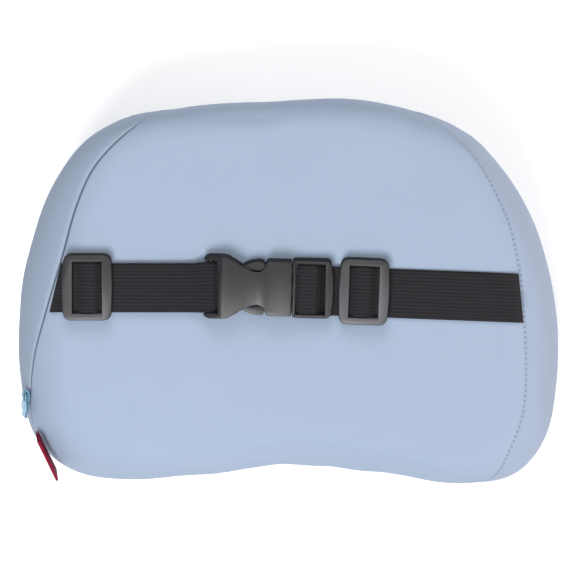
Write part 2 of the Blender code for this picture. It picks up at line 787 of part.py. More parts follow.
def buckle_socket(seat, look):
    """The socket: a flat housing with a waist, open at its mouth and at the sides of the waist,
    and a fork with the bar that the strap goes round."""
    low = BACK_LEVEL + STRAP_GAP
    high = low + SOCKET_HEIGHT
    mouth = SOCKET_MOUTH_WIDTH / 2
    end = SOCKET_END_WIDTH / 2
    waist = SOCKET_WAIST / 2
    length = SOCKET_LENGTH
    upper = [
        (0.0, mouth - 0.4), (-0.8, mouth), (-11.9, mouth), (-12.8, mouth - 0.8),
        (-13.6, waist + 2.4), (-14.8, waist + 0.9), (-16.4, waist + 0.1), (-18.2, waist),
        (-20.6, waist + 0.6), (-23.4, waist + 1.8), (-26.2, waist + 3.3), (-29.4, end - 2.0),
        (-32.2, end - 0.5), (-34.8, end), (-length + 3.2, end), (-length + 1.0, end - 0.8), (-length, end - 2.2),
    ]
    piece = add_object(
        "buckle_socket", plate_mesh("buckle_socket", mirrored(upper), low, high), look, seat
    )
    bevel(piece, 1.1, 2)
    inner = mouth - SOCKET_SIDE_WALL
    hollow = box_mesh(
        "socket_hollow", (-28.0, -inner, low + SOCKET_WALL), (1.0, inner, high - SOCKET_WALL)
    )
    boolean(piece, tool("socket_hollow", hollow, seat), "DIFFERENCE")
    fork = box_mesh(
        "socket_fork", (-length - 2.0, -FORK_OPENING / 2, low - 2.0),
        (-length + SOCKET_FORK, FORK_OPENING / 2, high + 2.0),
    )
    boolean(piece, tool("socket_fork", fork, seat), "DIFFERENCE")
    taper = wedge("fork_taper", -length - 1.0, -length + SOCKET_FORK + 2.0, end + 2.0, high)
    boolean(piece, tool("fork_taper", taper, seat), "DIFFERENCE")
    x0 = -SOCKET_LOOP_X - BUCKLE_MOUTH_X
    stop = x0 + BAR_RADIUS - LOOP_SLACK
    bar = loop_bar("socket_bar", stop - LOOP_BAR_LENGTH, stop, FORK_OPENING / 2 + 1.0)
    rounded = tool("socket_bar", bar, seat)
    boolean(piece, rounded, "UNION")
    smooth(piece)
    return piece


def wedge(name, start, stop, half, high):
    """Cuts the fork's arms down to a slope towards their ends."""
    drop = SOCKET_HEIGHT * 0.42
    side = [(start, high - drop), (stop, high + 0.02), (stop, high + 3.0), (start, high + 3.0)]
    mesh = plate_mesh(name, side, -half, half)
    mesh.transform(Matrix(((1, 0, 0), (0, 0, -1), (0, 1, 0))).to_4x4())
    return mesh


def loop_bar(name, start, stop, half):
    """The bar that the strap goes round, with rounded long edges."""
    outline = corner_outline(stop - start, LOOP_BAR_HEIGHT, BAR_RADIUS * 0.7, 2)
    middle = (start + stop) / 2
    outline = [(x + middle, y + LOOP_LEVEL) for x, y in outline]
    mesh = plate_mesh(name, outline, -half, half)
    mesh.transform(Matrix(((1, 0, 0), (0, 0, -1), (0, 1, 0))).to_4x4())
    return mesh


def buckle_plug(seat, look):
    """The plug: a frame for the strap with a flange against the socket's mouth, a middle tongue
    and two springy prongs whose shoulders catch in the socket's waist."""
    low = BACK_LEVEL + STRAP_GAP
    high = low + SOCKET_HEIGHT
    frame_top = OUTER_BAR_LEVEL + SLIDE_TOP_ABOVE_BARS
    middle = (low + high) / 2
    z0 = middle - PRONG_HEIGHT / 2
    z1 = middle + PRONG_HEIGHT / 2
    half = PLUG_WIDTH / 2
    start = MATING_GAP
    outline = [
        (start + 0.3, half - 0.4), (start + 1.1, half), (PLUG_LENGTH - 3.0, half),
        (PLUG_LENGTH - 1.8, half - 0.6), (PLUG_LENGTH - 1.0, half - 2.0),
        (PLUG_LENGTH - 0.3, half * 0.5), (PLUG_LENGTH, 0.0),
    ]
    outline = outline + [(x, -y) for x, y in reversed(outline[:-1])]
    foot = MIDDLE_BAR_LEVEL - FRAME_FOOT
    piece = add_object(
        "buckle_plug", plate_mesh("buckle_plug", outline, foot, frame_top), look, seat
    )
    bevel(piece, 0.8, 2)
    inner = half - PLUG_RAIL
    window = box_mesh(
        "plug_window", (start + PLUG_FLANGE, -inner, low - 2.0),
        (PLUG_LENGTH - PLUG_END_BAR, inner, high + 2.0),
    )
    boolean(piece, tool("plug_window", window, seat), "DIFFERENCE")
    channel = box_mesh(
        "plug_channel", (start + PLUG_FLANGE + 0.1, -inner, low - 2.0),
        (PLUG_LENGTH + 4.0, inner, OUTER_BAR_LEVEL),
    )
    boolean(piece, tool("plug_channel", channel, seat), "DIFFERENCE")
    flange = tool(
        "plug_flange",
        box_mesh(
            "plug_flange", (start, 0.6 - half, low + 0.6), (start + PLUG_FLANGE, half - 0.6, z1 + 0.3)
        ),
        seat,
    )
    bevel(flange, 0.4, 1)
    boolean(piece, flange, "UNION")
    x0 = PLUG_LOOP_X - BUCKLE_MOUTH_X
    bar_start = x0 - BAR_RADIUS + LOOP_SLACK
    bar_stop = bar_start + LOOP_BAR_LENGTH + PLUG_LOOP_EXTRA
    bar = loop_bar("plug_bar", bar_start, bar_stop, inner + 0.7)
    boolean(piece, tool("plug_bar", bar, seat), "UNION")
    tongue = box_mesh(
        "plug_tongue", (-TONGUE_LENGTH, -TONGUE_WIDTH / 2, z0), (start + 0.8, TONGUE_WIDTH / 2, z1)
    )
    boolean(piece, tool("plug_tongue", tongue, seat), "UNION")
    wall = SOCKET_MOUTH_WIDTH / 2 - SOCKET_SIDE_WALL
    reach = PRONG_REACH
    prong = [
        (start + 0.8, wall - 4.2), (start + 0.8, wall - 0.9), (-6.0, wall - 0.6),
        (-12.8, wall - MATING_GAP), (-13.8, wall - MATING_GAP), (-14.0, wall + 0.6),
        (-14.9, wall + 1.3), (-17.6, wall + 1.4), (-20.6, wall + 0.9), (-23.4, wall - 0.3),
        (-25.8, wall - 1.8), (-reach, wall - 3.0), (-reach + 0.6, wall - 3.8),
        (-24.0, wall - 3.0), (-20.8, wall - 2.6), (-16.5, wall - 2.9), (-10.0, wall - 3.9),
    ]
    for side in (-1, 1):
        outline = [(x, y * side) for x, y in prong]
        arm = plate_mesh("plug_prong", outline, z0, z1)
        boolean(piece, tool(f"plug_prong_{side}", arm, seat), "UNION")
    smooth(piece)
    return piece


def label_tag(look):
    """A folded label that stands up from the seam and slopes down with it, fold at the top."""
    start = edge_point(TAG_START, TAG_START_TILT) + Vector((0.0, 0.0, TAG_LIFT))
    stop = edge_point(TAG_END, 90.0)
    aside = Vector((stop.x, stop.y, 0.0)).normalized()
    stop += aside * TAG_OVERHANG + Vector((0.0, 0.0, TAG_END_RISE))
    heading = stop - start
    slope = math.atan2(-heading.z, math.hypot(heading.x, heading.y))
    length = heading.length - TAG_HEIGHT * math.sin(slope)
    out = TAG_PLY + TAG_FOLD_GAP / 2
    inside = TAG_FOLD_GAP / 2
    fold = TAG_HEIGHT - out
    profile = [(out, 0.0), (out, fold)]
    profile += [(out * math.cos(a), fold + out * math.sin(a)) for a in (0.52, 1.05, 1.57, 2.09, 2.62)]
    profile += [(-out, fold), (-out, 0.0), (-inside, 0.0), (-inside, fold)]
    profile += [(0.0, fold + inside), (inside, fold), (inside, 0.0)]
    mesh = plate_mesh("label_tag", profile, -length / 2, length / 2)
    mesh.transform(Matrix(((0, 0, 1), (1, 0, 0), (0, 1, 0))).to_4x4())
    piece = add_object("label_tag", mesh, look)
    piece.location = (start + heading.normalized() * length / 2) * MM
    piece.rotation_euler = (0.0, slope, math.atan2(heading.y, heading.x))
    return piece


fabric = material("cover_fabric", (0.45, 0.54, 0.70), 0.85)
side_fabric = material("band_fabric", (0.38, 0.46, 0.62), 0.88)
foam_look = material("foam", (0.86, 0.84, 0.74), 0.95)
elastic = material("strap_elastic", (0.025, 0.024, 0.032), 0.8)
plastic = material("buckle_plastic", (0.055, 0.055, 0.060), 0.42)
tape = material("zip_tape", (0.40, 0.48, 0.64), 0.8)
pull_look = material("pull_blue", (0.30, 0.58, 0.80), 0.4)
tag_look = material("tag_red", (0.38, 0.01, 0.05), 0.7)

foam(foam_look)
fabric_panel("back_panel", back_rings() + [seam_ring(-1.0)], fabric, cap_first=True)
fabric_panel(
    "side_band",
    [seam_ring(1.0)]
    + band_rings(lambda d: FRONT_SEAM_TILT - gap_tilt(d, front_seam)),
    side_fabric,
)
fabric_panel(
    "front_panel",
    [[edge_point(d, FRONT_SEAM_TILT + gap_tilt(d, front_seam)) for d in DIRECTIONS]]
    + front_rings(),
    fabric,
    point_last=Vector((0.0, 0.0, front_level(0.0, 0.0))),
)
zip_tape("zip_tape_back", -1.0, tape)
zip_tape("zip_tape_side", 1.0, tape)

slider_seat = seam_seat(
    "slider_seat", SLIDER_DIRECTION, 0.5 + SLIDER_PLATE + PULL_CLEARANCE + PULL_PIN
)
zip_slider(slider_seat, pull_look)
zip_pull(slider_seat, pull_look)

left_seat = empty("left_strap_line", (0.0, LEFT_STRAP_Y, 0.0))
right_seat = empty("right_strap_line", (0.0, RIGHT_STRAP_Y, 0.0), RIGHT_STRAP_TURN)
buckle_seat = empty("buckle_line", (BUCKLE_MOUTH_X, BUCKLE_Y, 0.0), BUCKLE_TURN)
bpy.context.view_layer.update()
strap(
    "left_strap", -1, LEFT_SLIDE_X, SOCKET_LOOP_X, 0.0, LEFT_STRAP_END, LEFT_END_SLANT, left_seat,
    elastic,
)
strap(
    "right_strap", 1, RIGHT_SLIDE_X, PLUG_LOOP_X, PLUG_LOOP_EXTRA, RIGHT_STRAP_END,
    RIGHT_END_SLANT, right_seat, elastic,
)
slide("left_slide", -LEFT_SLIDE_X, left_seat, plastic)
slide("right_slide", RIGHT_SLIDE_X, right_seat, plastic)
buckle_socket(buckle_seat, plastic)
buckle_plug(buckle_seat, plastic)
label_tag(tag_look)
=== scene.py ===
import json
import math

import bmesh
import bpy
from mathutils import Matrix, Vector, noise


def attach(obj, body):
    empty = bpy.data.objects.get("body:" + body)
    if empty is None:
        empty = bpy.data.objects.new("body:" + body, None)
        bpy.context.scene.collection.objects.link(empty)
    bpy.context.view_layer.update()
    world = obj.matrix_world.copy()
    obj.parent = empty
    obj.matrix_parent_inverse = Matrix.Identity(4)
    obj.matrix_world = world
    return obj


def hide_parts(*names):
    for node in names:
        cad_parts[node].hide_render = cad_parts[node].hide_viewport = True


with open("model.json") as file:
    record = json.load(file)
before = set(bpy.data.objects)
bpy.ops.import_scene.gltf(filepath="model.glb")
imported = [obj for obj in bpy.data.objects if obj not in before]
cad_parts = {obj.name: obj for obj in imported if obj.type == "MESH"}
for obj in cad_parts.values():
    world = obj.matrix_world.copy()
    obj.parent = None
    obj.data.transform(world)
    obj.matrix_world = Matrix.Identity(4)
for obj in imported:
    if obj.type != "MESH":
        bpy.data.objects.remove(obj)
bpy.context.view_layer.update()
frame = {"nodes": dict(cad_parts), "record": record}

bl_info = {
    "name": "Travel neck pillow",
    "version": (1, 0, 0),
    "blender": (4, 5, 0),
    "location": "3D View > Sidebar > Pillow",
    "description": "Dresses the neck pillow: sewn cover, elastic strap, fittings, zip and label",
    "category": "Object",
}

MM = 0.001
NODES = frame["nodes"]

# The pillow's form, in millimetres, as the frame has it; a round is for the sides and the ends
WIDTH = 285.0
HEIGHT = 203.2
DEPTH = 95.0
RIM_LEVEL = 48.0
BACK_ROUND = (32.0, 20.0)
FRONT_ROUND = (45.0, 30.0)
LOBE_OFFSET = 85.0
HOLLOW_DEPTH = 28.0
LOBE_RISE = 10.0
LOBE_REACH = 70.0
LOBE_FLAT = 2.0
OUTLINE = (
    (0.982, 0.005), (0.942, 0.236), (0.880, 0.452), (0.793, 0.644), (0.685, 0.806),
    (0.542, 0.904), (0.396, 0.956), (0.130, 0.997), (-0.117, 0.976), (-0.383, 0.947),
    (-0.543, 0.920), (-0.698, 0.832), (-0.818, 0.671), (-0.902, 0.467), (-0.955, 0.242),
    (-0.990, 0.005), (-1.000, -0.244), (-0.989, -0.503), (-0.940, -0.760), (-0.795, -0.937),
    (-0.583, -0.977), (-0.389, -0.951), (-0.110, -0.905), (0.118, -0.895), (0.394, -0.942),
    (0.602, -0.994), (0.821, -0.957), (0.949, -0.760), (0.991, -0.499), (0.999, -0.241),
)
REAR_SEAM = (
    (-50, -4.0), (-44, 2.5), (-39, 12.0), (-33, 18.2), (-20, 21.3), (-7, 21.8), (5, 19.5),
    (18, 16.0), (30, 13.0), (49, 6.0), (62, -4.0), (90, -9.0), (115, -4.0), (134, 10.2),
    (150, 17.5), (170, 21.8), (184, 18.5), (195, 11.5), (209, 3.0), (222, -5.0), (270, -9.0),
)
PAST_RIM_SLOPE = 1.3
FRONT_SEAM_TILT = 145.0

# The cover's skin: its columns, the rings beside a seam (in millimetres from it), and how deep
# the skin is drawn in there, as shares of the seam's or the crease's depth
COLUMNS = 108
COARSE_COLUMNS = 54
SEAM_REACH = 5.0
SEAM_RINGS = (-SEAM_REACH, -2.2, -0.75, 0.0, 0.75, 2.2, SEAM_REACH)
SEAM_SHARES = {0.0: 1.0, 0.75: 0.25, 2.2: -0.03}
CREASE_SHARES = {0.0: 1.0, 0.75: 0.82, 2.2: 0.30}
FRONT_CREASE = 0.5
TOP_SLACK = 0.12
SWELL_FRAMES = 15
DENT_MIDDLE = Vector((99.0, 74.0))
DENT_RUN = Vector((-0.77, 0.64))
DENT_LENGTH = 26.0
DENT_WIDTH = 5.0
DENT_DEPTH = 1.6
DENT_FOOT = 55.0

# The strap and its fittings, in millimetres
STRAP_WIDTH = 25.0
STRAP_THICKNESS = 1.2
STRAP_GAP = 0.3
LEFT_STRAP_Y = 1.7
RIGHT_STRAP_Y = 0.9
RIGHT_STRAP_TURN = -2.2
LEFT_STRAP_END = 117.7
RIGHT_STRAP_END = 117.2
LEFT_STRAP_SLANT = -13.4
RIGHT_STRAP_SLANT = 5.4
LEFT_SLIDE_X = 102.0
RIGHT_SLIDE_X = 38.1
SOCKET_LOOP_X = 39.2
PLUG_LOOP_X = 7.3
PLUG_LOOP_EXTRA = 4.4
BUCKLE_Y = 0.9
BUCKLE_TURN = -1.24
SLIDE_LENGTH = 24.6
SLIDE_WINDOW = 15.2
DRAPE_REACH = 28.0
DRAPE_STEP = 4.0
UPPER_SPREAD = 0.046
LOWER_SPREAD = 0.008
SEWN_IN = 1.1
SOCKET_REACH = 1.30
PLUG_REACH = 1.42
LOW = DEPTH + STRAP_GAP + STRAP_THICKNESS / 2
STEP = STRAP_THICKNESS + STRAP_GAP
LOOP_RADIUS = 2.2
LOOP_LEVEL = LOW + LOOP_RADIUS
END_RADIUS = 1.7
OVER = LOW + 2 * END_RADIUS + STEP
MIDDLE_BAR_LENGTH = 4.2
MIDDLE_BAR_HEIGHT = 1.6
SLIDE_LEAN = 0.6


def hermite(s):
    """Weights of a cubic's first end, first slope, second end and second slope."""
    return 2 * s**3 - 3 * s**2 + 1, s**3 - 2 * s**2 + s, 3 * s**2 - 2 * s**3, s**3 - s**2


def smooth_closed(knots, period, at):
    """Value at a position on a smooth closed curve through (position, value) pairs."""
    count = len(knots)
    at = (at - knots[0][0]) % period + knots[0][0]
    index = max(k for k in range(count) if knots[k][0] <= at)

    def knot(k):
        turns, k = divmod(k, count)
        return knots[k][0] + turns * period, knots[k][1]

    (p0, v0), (p1, v1), (p2, v2), (p3, v3) = (knot(index + k) for k in (-1, 0, 1, 2))
    span = p2 - p1
    slope1 = (v2 - v0) / (p2 - p0)
    slope2 = (v3 - v1) / (p3 - p1)
    first, rise, second, fall = hermite((at - p1) / span)
    return first * v1 + rise * span * slope1 + second * v2 + fall * span * slope2


def polar(points):
    found = []
    for x, y in points:
        x = x * WIDTH / 2
        y = y * HEIGHT / 2
        found.append((math.degrees(math.atan2(y, x)) % 360.0, math.hypot(x, y)))
    return sorted(found)


RIM = polar(OUTLINE)


def rim_radius(direction):
    return smooth_closed(RIM, 360.0, direction)


def edge_round(direction, front=False):
    """How far in from the rim the rounding of the back's or the front's edge begins."""
    side, end = FRONT_ROUND if front else BACK_ROUND
    return end + (side - end) * math.cos(math.radians(direction)) ** 2


def knot_tilt(direction, inset):
    """The tilt round the edge at which a point lies this far in from the rim."""
    if inset <= 0.0:
        return 90.0 - inset * PAST_RIM_SLOPE
    share = inset / edge_round(direction)
    return math.degrees(math.asin(max(0.05, 1.0 - share)))


SEAM_KNOTS = [(direction, knot_tilt(direction, inset)) for direction, inset in REAR_SEAM]


def seam_tilt(direction):
    """Where the rear seam runs round the edge: 0 is the back's flat, 90 is the rim."""
    return smooth_closed(SEAM_KNOTS, 360.0, direction)


def front_level(x, y):
    """Height of the front above the surface the pillow lies on."""
    hollow = 0.0
    if abs(x) < LOBE_OFFSET:
        hollow = HOLLOW_DEPTH * 0.5 * (1.0 + math.cos(math.pi * x / LOBE_OFFSET))
    return max(0.0, hollow + LOBE_RISE * (y / LOBE_REACH) ** 2 - LOBE_FLAT)


def spoke(direction, radius):
    a = math.radians(direction)
    return radius * math.cos(a), radius * math.sin(a)


def edge_point(direction, tilt):
    """A point on the pillow's rounded edge."""
    front = tilt > 90.0
    t = math.radians(tilt)
    r = rim_radius(direction) - edge_round(direction, front) * (1.0 - math.sin(t))
    x, y = spoke(direction, r)
    reach = RIM_LEVEL - front_level(x, y) if front else DEPTH - RIM_LEVEL
    return Vector((x, y, RIM_LEVEL + reach * math.cos(t)))


def clamp(value):
    return max(0.0, min(1.0, value))


def step_between(value, low, high):
    """A smooth step from 0 at one value to 1 at the other."""
    share = clamp((value - low) / (high - low))
    return share * share * (3.0 - 2.0 * share)


def fullness(direction):
    """How full the stuffing makes the edge: 1 at the head and the foot, 0 at strap and zip."""
    head = step_between(direction, 22.0, 60.0) * (1.0 - step_between(direction, 128.0, 165.0))
    foot = step_between(direction, 222.0, 240.0) * (1.0 - step_between(direction, 318.0, 345.0))
    return max(head, foot)


def full_lift(direction, tilt, most):
    """How far the stuffing lifts the edge between the back's flat and the rim."""
    if not 0.0 < tilt < 90.0:
        return 0.0
    t = math.radians(tilt)
    power = 2.0 + most * fullness(direction)
    level = (1.0 - math.sin(t) ** power) ** (1.0 / power)
    return (DEPTH - RIM_LEVEL) * (level - math.cos(t))


def inner_point(direction, share, front):
    """A point inside the rounded edge, on the front or the back; a share of 1 is its border."""
    x, y = spoke(direction, (rim_radius(direction) - edge_round(direction, front)) * share)
    return Vector((x, y, front_level(x, y) if front else DEPTH))


def back_level(x, y):
    """Height of the back above the surface the pillow lies on."""
    direction = math.degrees(math.atan2(y, x))
    inset = rim_radius(direction) - math.hypot(x, y)
    share = 1.0 - inset / edge_round(direction)
    if share <= 0.0:
        return DEPTH
    return RIM_LEVEL + (DEPTH - RIM_LEVEL) * math.sqrt(max(0.0, 1.0 - share**2))


class Signal:
    """A shader socket that sums can be written with."""

    def __init__(self, finish, socket):
        self.finish = finish
        self.socket = socket

    def sum(self, operation, other=0.0, swapped=False):
        first, second = (other, self) if swapped else (self, other)
        return self.finish.node("ShaderNodeMath", {"operation": operation}, {0: first, 1: second})

    def __add__(self, other):
        return self.sum("ADD", other)

    __radd__ = __add__

    def __sub__(self, other):
        return self.sum("SUBTRACT", other)

    def __rsub__(self, other):
        return self.sum("SUBTRACT", other, True)

    def __mul__(self, other):
        return self.sum("MULTIPLY", other)

    def size(self):
        return self.sum("ABSOLUTE")

    def wave(self):
        return self.sum("SINE")

    def ramp(self, low, high, to_low=0.0, to_high=1.0):
        """A smooth step from one value to another."""
        return self.finish.node(
            "ShaderNodeMapRange", {"interpolation_type": "SMOOTHSTEP"},
            {"Value": self, "From Min": low, "From Max": high, "To Min": to_low, "To Max": to_high},
        )


class Finish:
    """A material made of nodes, ending in one Principled shader."""

    def __init__(self, name, roughness, **constants):
        self.material = bpy.data.materials.new(name)
        self.material.use_nodes = True
        self.tree = self.material.node_tree
        self.shader = self.tree.nodes["Principled BSDF"]
        self.shader.inputs["Roughness"].default_value = roughness
        for socket, value in constants.items():
            self.shader.inputs[socket.replace("_", " ")].default_value = value

    def node(self, kind, settings=None, values=None, output=0):
        """Adds a node, sets it up, links or fills its sockets and gives one output."""
        made = self.tree.nodes.new(kind)
        for name, value in (settings or {}).items():
            setattr(made, name, value)
        for key, value in (values or {}).items():
            socket = made.inputs[key]
            if isinstance(value, Signal):
                self.tree.links.new(value.socket, socket)
            else:
                socket.default_value = value
        return Signal(self, made.outputs[output])

    def place(self):
        return self.node("ShaderNodeTexCoord", output="Object")

    def stored(self, name):
        return self.node("ShaderNodeAttribute", {"attribute_name": name}, output="Fac")

    def axis(self, vector, which):
        return self.node("ShaderNodeSeparateXYZ", values={0: vector}, output=which)

    def vector(self, x, y, z):
        return self.node("ShaderNodeCombineXYZ", values={0: x, 1: y, 2: z})

    def speckle(self, where, scale, detail=2.0):
        return self.node(
            "ShaderNodeTexNoise", values={"Vector": where, "Scale": scale, "Detail": detail}
        )

    def mix(self, share, first, second):
        return self.node(
            "ShaderNodeMix", {"data_type": "RGBA"}, {0: share, 6: first, 7: second}, output=2
        )

    def bump(self, height, distance, strength):
        return self.node(
            "ShaderNodeBump", values={"Height": height, "Distance": distance, "Strength": strength}
        )

    def wear(self, **links):
        """Links values into the shader's own sockets."""
        for name, value in links.items():
            self.tree.links.new(value.socket, self.shader.inputs[name.replace("_", " ")])
        return self.material


def paint(colour, factor=1.0):
    return (*(channel * factor for channel in colour), 1.0)


def tint(name, description, default):
    """A colour that the user can change."""
    return bpy.props.FloatVectorProperty(
        name=name, description=description, subtype="COLOR", default=default, min=0.0, max=1.0
    )


def amount(name, description, default, **more):
    """A number that the user can change, from 0 up unless limited."""
    more.setdefault("min", 0.0)
    return bpy.props.FloatProperty(name=name, description=description, default=default, **more)


class CoverSizes(bpy.types.PropertyGroup):
    """The sewn cover."""

    colour: tint("Cover colour", "Colour of the cover's fabric", (0.291, 0.371, 0.503))
    # Painted shade: the side band is the cover's own fabric, painted a little darker for the shade
    # on its slope
    band_shade_colour: tint("Band colour", "Colour of the side band's fabric", (0.284, 0.358, 0.487))
    seam_depth: amount("Seam depth", "How far the zipped seam is drawn in, in mm", 0.7)
    crease_depth: amount("Crease depth", "How far the sewn seams are drawn in, in mm", 0.5)
    swell: amount("Swell", "Furthest that the fabric may swell, in mm", 2.2)
    full: amount("Fullness", "How square the stuffing makes the head and foot edges", 1.0, max=1.5)
    folds: amount("Folds", "Height of the soft folds in the fabric, in mm", 0.7)
    stitch: amount("Stitch", "Length from one stitch to the next, in mm", 2.7, min=0.5)


class StrapSizes(bpy.types.PropertyGroup):
    """The elastic strap."""

    colour: tint("Strap colour", "Colour of the elastic", (0.0082, 0.0076, 0.0100))
    ribs: bpy.props.IntProperty(
        name="Ribs", description="Lengthwise ribs across the strap's width", default=14, min=1
    )
    rib_height: amount("Rib height", "Height of a rib, in mm", 0.14)


class FittingSizes(bpy.types.PropertyGroup):
    """The buckle and the slides."""

    colour: tint("Plastic colour", "Colour of the moulded plastic", (0.021, 0.021, 0.0235))
    edge: amount("Edge radius", "Radius of the moulded edges, in mm", 0.5)
    draft: amount("Draft", "How far the foot of the buckle's upper side leans out, in mm", 1.9)


class ZipSizes(bpy.types.PropertyGroup):
    """The zip's slider and pull."""

    colour: tint("Pull colour", "Colour of the pull's face", (0.22, 0.44, 0.62))
    rim_colour: tint("Pull rim colour", "Colour of the pull's edge", (0.05, 0.12, 0.17))


class LabelSizes(bpy.types.PropertyGroup):
    """The folded label."""

    colour: tint("Label colour", "Colour of the label's ribbon", (0.24, 0.002, 0.030))


class StageSizes(bpy.types.PropertyGroup):
    """Floor, lights and camera."""

    floor: tint("Floor colour", "Colour of the floor", (0.80, 0.80, 0.80))
    key: amount("Key light", "Power of the small light on the lower left, in watts", 17.2)
    overhead: amount("Overhead light", "Power of the broad light above, in watts", 8.4)
    front: amount("Front light", "Power of the low light at the foot, in watts", 1.4)
    side: amount("Side light", "Power of the low warm light on the right, in watts", 8.8)
    head: amount("Head light", "Power of the broad light at the head, in watts", 9.0)
    glow: amount("Floor glow", "How strongly the backlit floor shines", 0.35)
    sky: amount("Sky", "Strength of the light from all round", 0.03)
    lens: amount("Lens", "Focal length of the camera", 143.3, min=10.0, subtype="DISTANCE_CAMERA")


def pick_nothing():
    if bpy.context.object and bpy.context.object.mode != "OBJECT":
        bpy.ops.object.mode_set(mode="OBJECT")
    bpy.ops.object.select_all(action="DESELECT")


def pick(piece):
    pick_nothing()
    piece.select_set(True)
    bpy.context.view_layer.objects.active = piece


def new_object(name, data):
    made = bpy.data.objects.new(name, data)
    bpy.context.scene.collection.objects.link(made)
    return made


def mesh_object(name, bm):
    mesh = bpy.data.meshes.new(name)
    bm.to_mesh(mesh)
    bm.free()
    return new_object(name, mesh)


def store(piece, name, values):
    """Keeps one value for each point of a mesh, for its finish to read."""
    layer = piece.data.attributes.new(name, "FLOAT", "POINT")
    layer.data.foreach_set("value", values)


def smooth_by_angle(piece, degrees):
    pick(piece)
    bpy.ops.object.shade_smooth_by_angle(angle=math.radians(degrees))


def edit_mode(piece):
    """Opens a piece for editing with all of it selected."""
    pick(piece)
    bpy.ops.object.mode_set(mode="EDIT")
    bpy.ops.mesh.select_all(action="SELECT")


def apply_modifier(piece, name, kind, **settings):
    pick(piece)
    step = piece.modifiers.new(name, kind)
    for setting, value in settings.items():
        setattr(step, setting, value)
    bpy.ops.object.modifier_apply(modifier=step.name)


def dress(piece, material):
    piece.data.materials.clear()
    piece.data.materials.append(material)


def node_copy(node, name):
    """A copy of a CAD node's mesh as a piece of its own, with its loose triangles joined."""
    piece = new_object(name, NODES[node].data.copy())
    edit_mode(piece)
    bpy.ops.mesh.remove_doubles(threshold=0.002 * MM)
    bpy.ops.mesh.dissolve_limited(angle_limit=math.radians(1.0))
    bpy.ops.object.mode_set(mode="OBJECT")
    return piece


def body_of(node):
    for body, members in frame["record"]["behaviour"]["bodies"].items():
        if node in members:
            return body
    raise RuntimeError(f"no body holds {node}")


# Fabric


def cover_finish(sizes):
    """Fine matt jersey, with painted shade along the seams' lines, a painted highlight beside the
    zip, and the stitches of the right-hand seam.
    """
    cloth = Finish(
        "cover_jersey", 0.86, Sheen_Weight=0.02, Sheen_Roughness=0.5,
        Sheen_Tint=(0.86, 0.90, 1.0, 1.0), Specular_IOR_Level=0.1,
    )
    where = cloth.place()
    across = cloth.stored("from_seam")
    along = cloth.stored("seam_run")
    front = cloth.stored("from_front_seam").size()
    sewn = cloth.stored("stitched")
    zipped = cloth.stored("zipped")
    band = cloth.stored("on_band")
    off = across.size()
    mottle = cloth.speckle(where, 38.0, 3.0)
    patches = cloth.speckle(where, 9.0)
    # The side band is painted a little darker, as painted shade
    base = cloth.mix(band, paint(sizes.colour), paint(sizes.band_shade_colour))
    tone = (mottle - 0.5) * 0.10 + (patches - 0.5) * 0.10 + 0.5
    darker = cloth.mix(0.80, paint((0, 0, 0)), base)
    lighter = cloth.mix(0.10, base, paint((1, 1, 1)))
    base = cloth.mix(tone, darker, lighter)
    # Where the panels meet, painted shade: a dark line over the zip's gap, and a soft painted shade
    # along the creases of the sewn seams
    zip_gap_shade = off.ramp(0.00018, 0.00080, 1.0, 0.0) * zipped
    crease_shade = off.ramp(0.0002, 0.0022, 1.0, 0.0) * (1.0 - zipped)
    front_crease_shade = front.ramp(0.0002, 0.0014, 1.0, 0.0)
    # Painted highlight: a faint light line beside the zip's seam, on the band's side
    zip_hem_highlight = (across - 0.0016).size().ramp(0.0002, 0.0009, 1.0, 0.0) * zipped
    beat = along.sum("PINGPONG", sizes.stitch * MM / 2)
    hole = beat.ramp(0.00030, 0.00085, 1.0, 0.0) * off.ramp(0.00030, 0.00085, 1.0, 0.0) * sewn
    base = cloth.mix(zip_gap_shade * 0.86, base, paint(sizes.colour, 0.16))
    # Painted shade in the creases of the sewn seams, back and front
    soft = crease_shade.sum("MAXIMUM", front_crease_shade)
    base = cloth.mix(soft * 0.09, base, paint(sizes.colour, 0.30))
    base = cloth.mix(hole * 0.42, base, paint(sizes.colour, 0.25))
    base = cloth.mix(zip_hem_highlight * 0.05, base, paint((1, 1, 1)))
    rows = (cloth.axis(where, "X") * 4200.0).wave() * (cloth.axis(where, "Y") * 3000.0).wave()
    fuzz = cloth.speckle(where, 1500.0)
    pucker = cloth.speckle(cloth.vector(along, across * 0.3, 0.0), 260.0)
    near = off.ramp(0.0008, 0.006, 1.0, 0.0) * (sewn + 0.35)
    height = rows * 0.12 + fuzz * 0.22 + mottle * 0.6 + pucker * near * 1.5 - hole * 1.5
    rough = 0.80 + (mottle - 0.5) * 0.10
    return cloth.wear(Base_Color=base, Roughness=rough, Normal=cloth.bump(height, 0.00022, 0.5))


def ring_plan(fine):
    """The cover's rings from the middle of the back, over the edge, to the middle of the front.

    Each ring is a region's name and a share of that region, or millimetres from its seam.
    """
    near = SEAM_RINGS if fine else (-SEAM_REACH, 0.0, SEAM_REACH)
    shares = (0.12, 0.26, 0.40, 0.55, 0.70, 0.85, 1.0) if fine else (0.2, 0.45, 0.7, 1.0)
    band = 10 if fine else 7
    slope = 7 if fine else 5
    rings = [("back", share) for share in shares]
    rings += [("over", k / slope) for k in range(1, slope)]
    rings += [("rear", offset) for offset in near]
    rings += [("band", k / band) for k in range(1, band)]
    rings += [("fore", offset) for offset in near]
    rings += [("under", k / 4) for k in range(1, 4)]
    rings += [("front", share) for share in reversed(shares)]
    return rings


